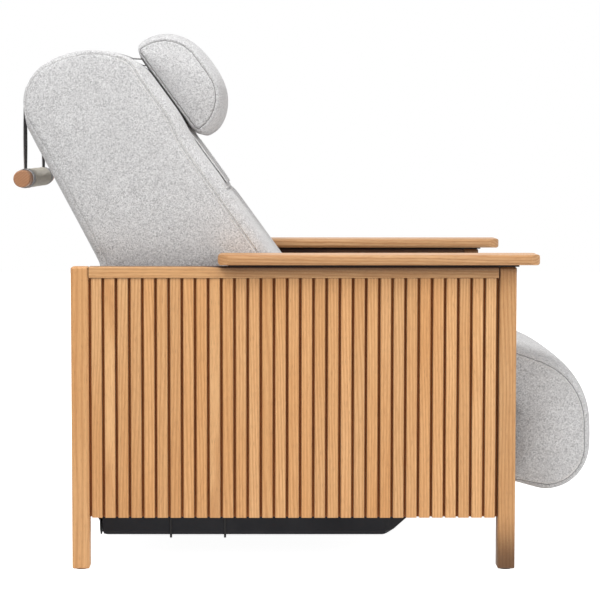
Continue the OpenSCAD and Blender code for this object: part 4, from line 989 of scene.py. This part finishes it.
def makeFlap(look):
    wide, tall, half, low, edge = (look[k] for k in ("wide", "tall", "half", "low", "edge"))

    def point(i, j, side):
        s = -1 + 2 * i / wide
        t = j / tall
        u = low + (look["top"] - low) * t
        y = s * half
        border = min(half * (1 - abs(s)), (u - low) if t < 0.5 else 99)
        thin = math.sqrt(max(0.0, 1 - (1 - min(1.0, border / edge)) ** 2))
        quilt = look["quilt"] * math.sin(math.pi * min(1.0, border / look["quiltRun"]))
        quilt += look["ripple"] * math.sin(y * 0.055 + u * 0.02)
        hem = -look["hem"] * math.exp(-((border - look["hemIn"]) / look["hemWide"]) ** 2)
        out = look["v"] + look["thick"] / 2 + side * (look["thick"] / 2 - 0.3) * thin
        return onBack(out + (quilt + hem) * (1 if side > 0 else look["backShare"]), y, u)

    def spread(n, k):  # points gather towards both ends
        x = k / n
        return n * (0.5 - 0.5 * math.cos(math.pi * x)) * look["gather"] + n * x * (1 - look["gather"])

    vertices = [
        point(spread(wide, i), spread(tall, j), side)
        for side in (1, -1) for j in range(tall + 1) for i in range(wide + 1)]
    obj = newPiece("flapCover", vertices, shellFaces(wide + 1, tall + 1), "chairFabric")
    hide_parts("pillow_flap")
    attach(obj, "pillow")
    surface = surfaceOf(obj)
    out, sewn = look["v"] + 8, look["sewnIn"]
    lines = [[onBack(out, y, low + sewn) for y in look["sewnAcross"]]]
    lines += [[onBack(out, side * (half - sewn), u) for u in look["sewnUp"]] for side in (-1, 1)]
    stitches = joined("flapStitches", [stitchRow("flapRow", surface, s, stitchLook) for s in lines], "seamThread")
    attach(stitches, "pillow")


makeFlap(flapLook)
print("flap made")

# Straps that carry the dowel
strapLook = {
    "y": 165.0, "width": 38.0, "thick": 2.4, "lift": 0.25, "pillowU": 735.0, "pillowV": 45.5, "loopR": 18.35,
    "loopStart": 98.0, "loopTurn": 350.0, "dropEnd": 16.0, "easeSteps": 14, "twist": -4.5, "taper": 0.35,
    "sections": 10,
}


# Centre is a list of (place, direction out). The face turned away from the direction out is lined
def ribbon(name, centre, look):
    width, thick, steps = look["width"] / 1000, look["thick"] / 1000, look["sections"]
    section = []
    for turn in (1, -1):
        for k in range(steps + 1):
            s = turn * (-0.5 + k / steps)
            section.append((s, turn * 0.5 * (1 - look["taper"] * (abs(s) * 2) ** 6)))
    count = len(section)
    vertices, marks = [], []
    length = 0.0
    for i, (p, up) in enumerate(centre):
        along = centre[min(i + 1, len(centre) - 1)][0] - centre[max(i - 1, 0)][0]
        side = up.cross(along).normalized()
        side = side if side.y > 0 else -side
        if i:
            length += (p - centre[i - 1][0]).length
        for s, t in section:
            vertices.append(p + side * (s * width) + up * (t * thick))
            marks.append(((s + 0.5) * width, length))
    faces = bandFaces(count, len(centre), caps=True)
    part = newPiece(name, vertices, faces, "strapWebbing")
    for polygon in part.data.polygons[:-2]:
        if steps < polygon.index % count < count - 1:
            polygon.material_index = 1
    strapUV = part.data.uv_layers.new(name="strapUV")
    for loop in part.data.loops:
        strapUV.data[loop.index].uv = marks[loop.vertex_index]
    return part


def strapPath(look, lift):  # over the top of the backrest, as (v, u, direction out)
    corner, top, rear = backCentres(backShape)
    cornerR, topR, rearR = (backShape[k] + lift for k in ("cornerR", "topR", "rearR"))
    leave = leaveAngle(corner, cornerR, (look["pillowV"], look["pillowU"]), 1)
    cornerEnd, topEnd = backShape["cornerEnd"], backShape["topEnd"]
    stretches = (
        (corner, cornerR, leave, cornerEnd, 6), (top, topR, cornerEnd, topEnd, 18),
        (rear, rearR, topEnd, 180 - chair["coverLean"], 26))
    path = []
    for centre, radius, a, b, n in stretches:
        for i in range(1 if path else 0, n + 1):
            t = math.radians(a + (b - a) * i / n)
            path.append((centre[0] + radius * math.cos(t), centre[1] + radius * math.sin(t), t))
    return path


def backDirection(t):
    return (onBack(math.cos(t), 0, math.sin(t)) - onBack(0, 0, 0)).normalized()


def strapOver(look, path, y, hang):  # lies on the cover, and eases to the line that it hangs on
    centre = []
    for i, (v, u, t) in enumerate(path):
        out = backDirection(t)
        place = backSurface.ray_cast(onBack(v, y, u) + out * 0.03, -out)[0]
        place = place + out * ((look["lift"] + look["thick"] / 2) / 1000)
        place.y = y / 1000
        ease = max(0.0, 1 - (len(path) - 1 - i) / look["easeSteps"]) ** 2
        centre.append((place.lerp(hang, ease), out))
    return centre


def strapDrop(look, hang, fall):
    down = []
    for i in range(0, 31):
        turn = math.radians(look["twist"] * math.sin(math.pi * (0.06 + 0.88 * i / 30)))
        down.append((hang - Vector((0, 0, fall * i / 30)), Vector((-math.cos(turn), -math.sin(turn), 0))))
    return down


def strapLoop(look, dowel):
    ring = []
    for i in range(0, 61):
        t = math.radians(look["loopStart"] + look["loopTurn"] * i / 60)
        out = Vector((math.cos(t), 0, math.sin(t)))
        ring.append((dowel + out * ((look["loopR"] + look["thick"] / 2) / 1000), out))
    return ring


def makeStraps(look):
    centres = {"strapOver": [], "strapLead": [], "strapDrops": [], "strapLoops": []}
    path = strapPath(look, backShape["crown"] + look["thick"] / 2)
    hx, hz = chair["hang"][0] / 1000, chair["hang"][1] / 1000
    fall = (chair["hang"][1] - chair["dowelZ"] - look["dropEnd"]) / 1000
    for y in (-look["y"], look["y"]):
        hang = Vector((hx, y / 1000, hz))
        over = strapOver(look, path, y, hang)
        first, out = over[0]
        start = onBack(look["pillowV"], y, look["pillowU"])
        centres["strapOver"].append(over)
        centres["strapLead"].append([(start.lerp(first, i / 12), out) for i in range(13)])
        centres["strapDrops"].append(strapDrop(look, hang, fall))
        centres["strapLoops"].append(strapLoop(look, Vector((hx, y / 1000, chair["dowelZ"] / 1000))))
    made = []
    for name, lines in centres.items():
        parts = [ribbon(name + "Part", line, look) for line in lines]
        made.append(joined(name, parts, "strapWebbing", "strapLining"))
    overPiece, leadPiece, dropPiece, loopPiece = made
    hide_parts("head_straps")
    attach(overPiece, "backrest")
    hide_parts("strap_drops")
    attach(dropPiece, "strap_swing")
    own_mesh(dropPiece)
    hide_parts("strap_loops")
    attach(loopPiece, "counterweight")
    start = tuple(onBack(look["pillowV"], 0, look["pillowU"]))
    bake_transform(leadPiece)


makeStraps(strapLook)

# Sleeve round the dowel: thin cloth, gathered a little, with a folded hem at each end
sleeveLook = {
    "half": 141.5, "inner": 18.35, "outer": 20.6, "hem": 9.0, "hemRise": 0.45, "hemDip": 0.35, "lip": 1.2,
    "seam": 0.5, "seamAt": 268.0, "around": 72, "along": 90,
}


def makeSleeve(look):
    around, along, half = look["around"], look["along"], look["half"]
    turns = [math.tau * i / around for i in range(around)]

    def point(r, t, y):
        x, z = chair["hang"][0] + r * math.cos(t), chair["dowelZ"] + r * math.sin(t)
        return Vector((x / 1000, y / 1000, z / 1000))

    vertices = []
    for j in range(along + 1):
        y = -half + 2 * half * j / along
        fromEnd = half - abs(y)
        hem = look["hemRise"] * max(0.0, min(1.0, (look["hem"] - fromEnd) / 1.5))
        hem -= look["hemDip"] * math.exp(-((fromEnd - look["hem"] - 1.2) / 1.3) ** 2)
        lip = -look["lip"] * max(0.0, 1 - fromEnd / 1.3) ** 2
        for t in turns:
            fold = 0.28 * math.sin(5 * t + 0.021 * y) * math.sin(0.034 * y + 1.0)
            fold += 0.20 * math.sin(9 * t - 0.05 * y) + 0.16 * math.sin(2 * t + 0.011 * y + 2.0)
            seam = -look["seam"] * math.exp(-((math.degrees(t) - look["seamAt"]) / 3.2) ** 2)
            vertices.append(point(look["outer"] + fold + hem + lip + seam, t, y))
    faces = bandFaces(around, along + 1, flip=True)
    near, top = len(vertices), along * around
    far = near + around
    vertices += [point(look["inner"], t, y) for y in (-half, half) for t in turns]
    for i in range(around):
        k = (i + 1) % around
        faces.append((i, k, near + k, near + i))
        faces.append((top + k, top + i, far + i, far + k))
        faces.append((near + k, far + k, far + i, near + i))
    obj = newPiece("sleeveCloth", vertices, faces, "sleeveFabric")
    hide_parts("dowel_sleeve")
    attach(obj, "counterweight")


makeSleeve(sleeveLook)
print("straps and sleeve made")

# Clips that hold the pan, and the curled rear edge of the pan
clipLook = {
    "x": (198.5, 311.5), "width": 4.5, "thick": 1.5, "half": 295.0, "foot": 55.0,
    "section": ((-0.5, 0), (-0.3, 1), (0.3, 1), (0.5, 0), (0.3, -0.4), (-0.3, -0.4)),
    "wrap": (  # from half and foot
        (-23, -0.6), (-17, -0.6), (-13.5, -1.2), (-10.5, -4.6), (-7.8, -4.2), (-7.0, 3.0), (-6.2, 9.5),
        (-4.0, 20), (-1.6, 36), (0.2, 49)),
}
curlLook = {
    "half": 283.0, "foot": 55.0, "rear": 52.5, "thick": 2.0, "radius": 14.0, "across": 24,
    "start": ((0.6, 1), (-0.8, 12), (-1.2, 26)), "centre": (-15.0, 27.0), "end": (-21.0, 41.2),
}


def across2d(points, i):  # unit vector square to a line of points
    a, b = points[max(i - 1, 0)], points[min(i + 1, len(points) - 1)]
    t = Vector((b[0] - a[0], b[1] - a[1])).normalized()
    return Vector((t.y, -t.x))


def makeClips(look):
    vertices, faces = [], []
    points = [(look["half"] + y, look["foot"] + z) for y, z in look["wrap"]]
    count = len(look["section"])
    for side in (-1, 1):
        for x in look["x"]:
            faces += bandFaces(count, len(points), len(vertices), caps=True, flip=side < 0)
            for i, (y, z) in enumerate(points):
                n = across2d(points, i) * look["thick"]
                for dx, dn in look["section"]:
                    vertices.append(onChair(x + dx * look["width"], side * (y + n.x * dn), z + n.y * dn))
    clips = newPiece("panClips", vertices, faces, "blackSteel")
    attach(clips, "base")


def makeCurl(look):
    rear, foot, half, radius = (look[k] for k in ("rear", "foot", "half", "radius"))
    curl = [(rear + x, foot + z) for x, z in look["start"]]
    centre = (rear + look["centre"][0], foot + look["centre"][1])
    curl += [point[:2] for point in arc(centre, radius, 0, 90, 9)]
    curl.append((rear + look["end"][0], foot + look["end"][1]))
    wide = [-half + 2 * half * i / look["across"] for i in range(look["across"] + 1)]
    vertices = []
    for depth in (0, look["thick"]):
        for y in wide:
            for i, (x, z) in enumerate(curl):
                n = across2d(curl, i)
                vertices.append(onChair(x - n.x * depth, y, z - n.y * depth))
    edge = newPiece("panRearEdge", vertices, shellFaces(len(curl), len(wide), flip=True), "panRim", smooth=False)
    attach(edge, "base")


makeClips(clipLook)
makeCurl(curlLook)
print("pan trim made")

# Floor, world and lamps
studio = {
    "worldGrey": 0.38, "floorGlow": 0.95, "floorGrey": (236, 236, 236), "floorHalf": 9,
    "lamps": [  # name, place, aim, size, power
        ("keyLamp", (-1.3, -1.9, 4.6), (0.0, -0.2, 0.55), 1.5, 150.0),
        ("fillLamp", (3.2, -1.9, 2.0), (0.0, 0.0, 0.5), 2.4, 47.0),
        ("rearLamp", (0.6, 3.2, 3.0), (0.0, 0.0, 0.5), 3.0, 16.0),
    ],
}


def seenDirect(tree):  # camera, mirror and glass rays
    rays = add(tree, "LightPath").outputs
    both = calc(tree, "MAXIMUM", rays["Is Camera Ray"], rays["Is Glossy Ray"])
    return calc(tree, "MAXIMUM", both, rays["Is Transmission Ray"])


def makeStudio(look):
    scene.world = scene.world or bpy.data.worlds.new("studio")
    tree, output = freshTree(scene.world, "ShaderNodeOutputWorld")
    soft = add(tree, "Background", {"Color": (1, 1, 1, 1), "Strength": look["worldGrey"]})
    plain = add(tree, "Background", {"Color": (1, 1, 1, 1), "Strength": 1.0})
    pick = add(tree, "MixShader", [seenDirect(tree), soft.outputs[0], plain.outputs[0]])
    tree.links.new(pick.outputs[0], output.inputs[0])
    for name, place, aim, size, power in look["lamps"]:
        data = bpy.data.lights.new(name, "AREA")
        data.shape = "DISK"
        data.size = size
        data.energy = power
        lamp = placed(name, data)
        lamp.location = place
        lamp.rotation_euler = (Vector(aim) - Vector(place)).to_track_quat("-Z", "Y").to_euler()
    corners = [(x * look["floorHalf"], y * look["floorHalf"], 0) for x, y in ((-1, -1), (1, -1), (1, 1), (-1, 1))]
    floor = newPiece("studioFloor", corners, [(0, 1, 2, 3)], "seamThread", smooth=False)
    floor.data.materials[0] = bpy.data.materials.new("paleFloor")
    tree, output = freshTree(floor.data.materials[0], "ShaderNodeOutputMaterial")
    matt = add(tree, "BsdfDiffuse", {"Color": colour(look["floorGrey"])})
    glow = calc(tree, "MULTIPLY", seenDirect(tree), look["floorGlow"])
    shine = add(tree, "Emission", {"Color": (1, 1, 1, 1), "Strength": glow})
    total = add(tree, "AddShader", [matt.outputs[0], shine.outputs[0]])
    tree.links.new(total.outputs[0], output.inputs[0])


makeStudio(studio)
scene.view_settings.view_transform = "Standard"
print("studio made")
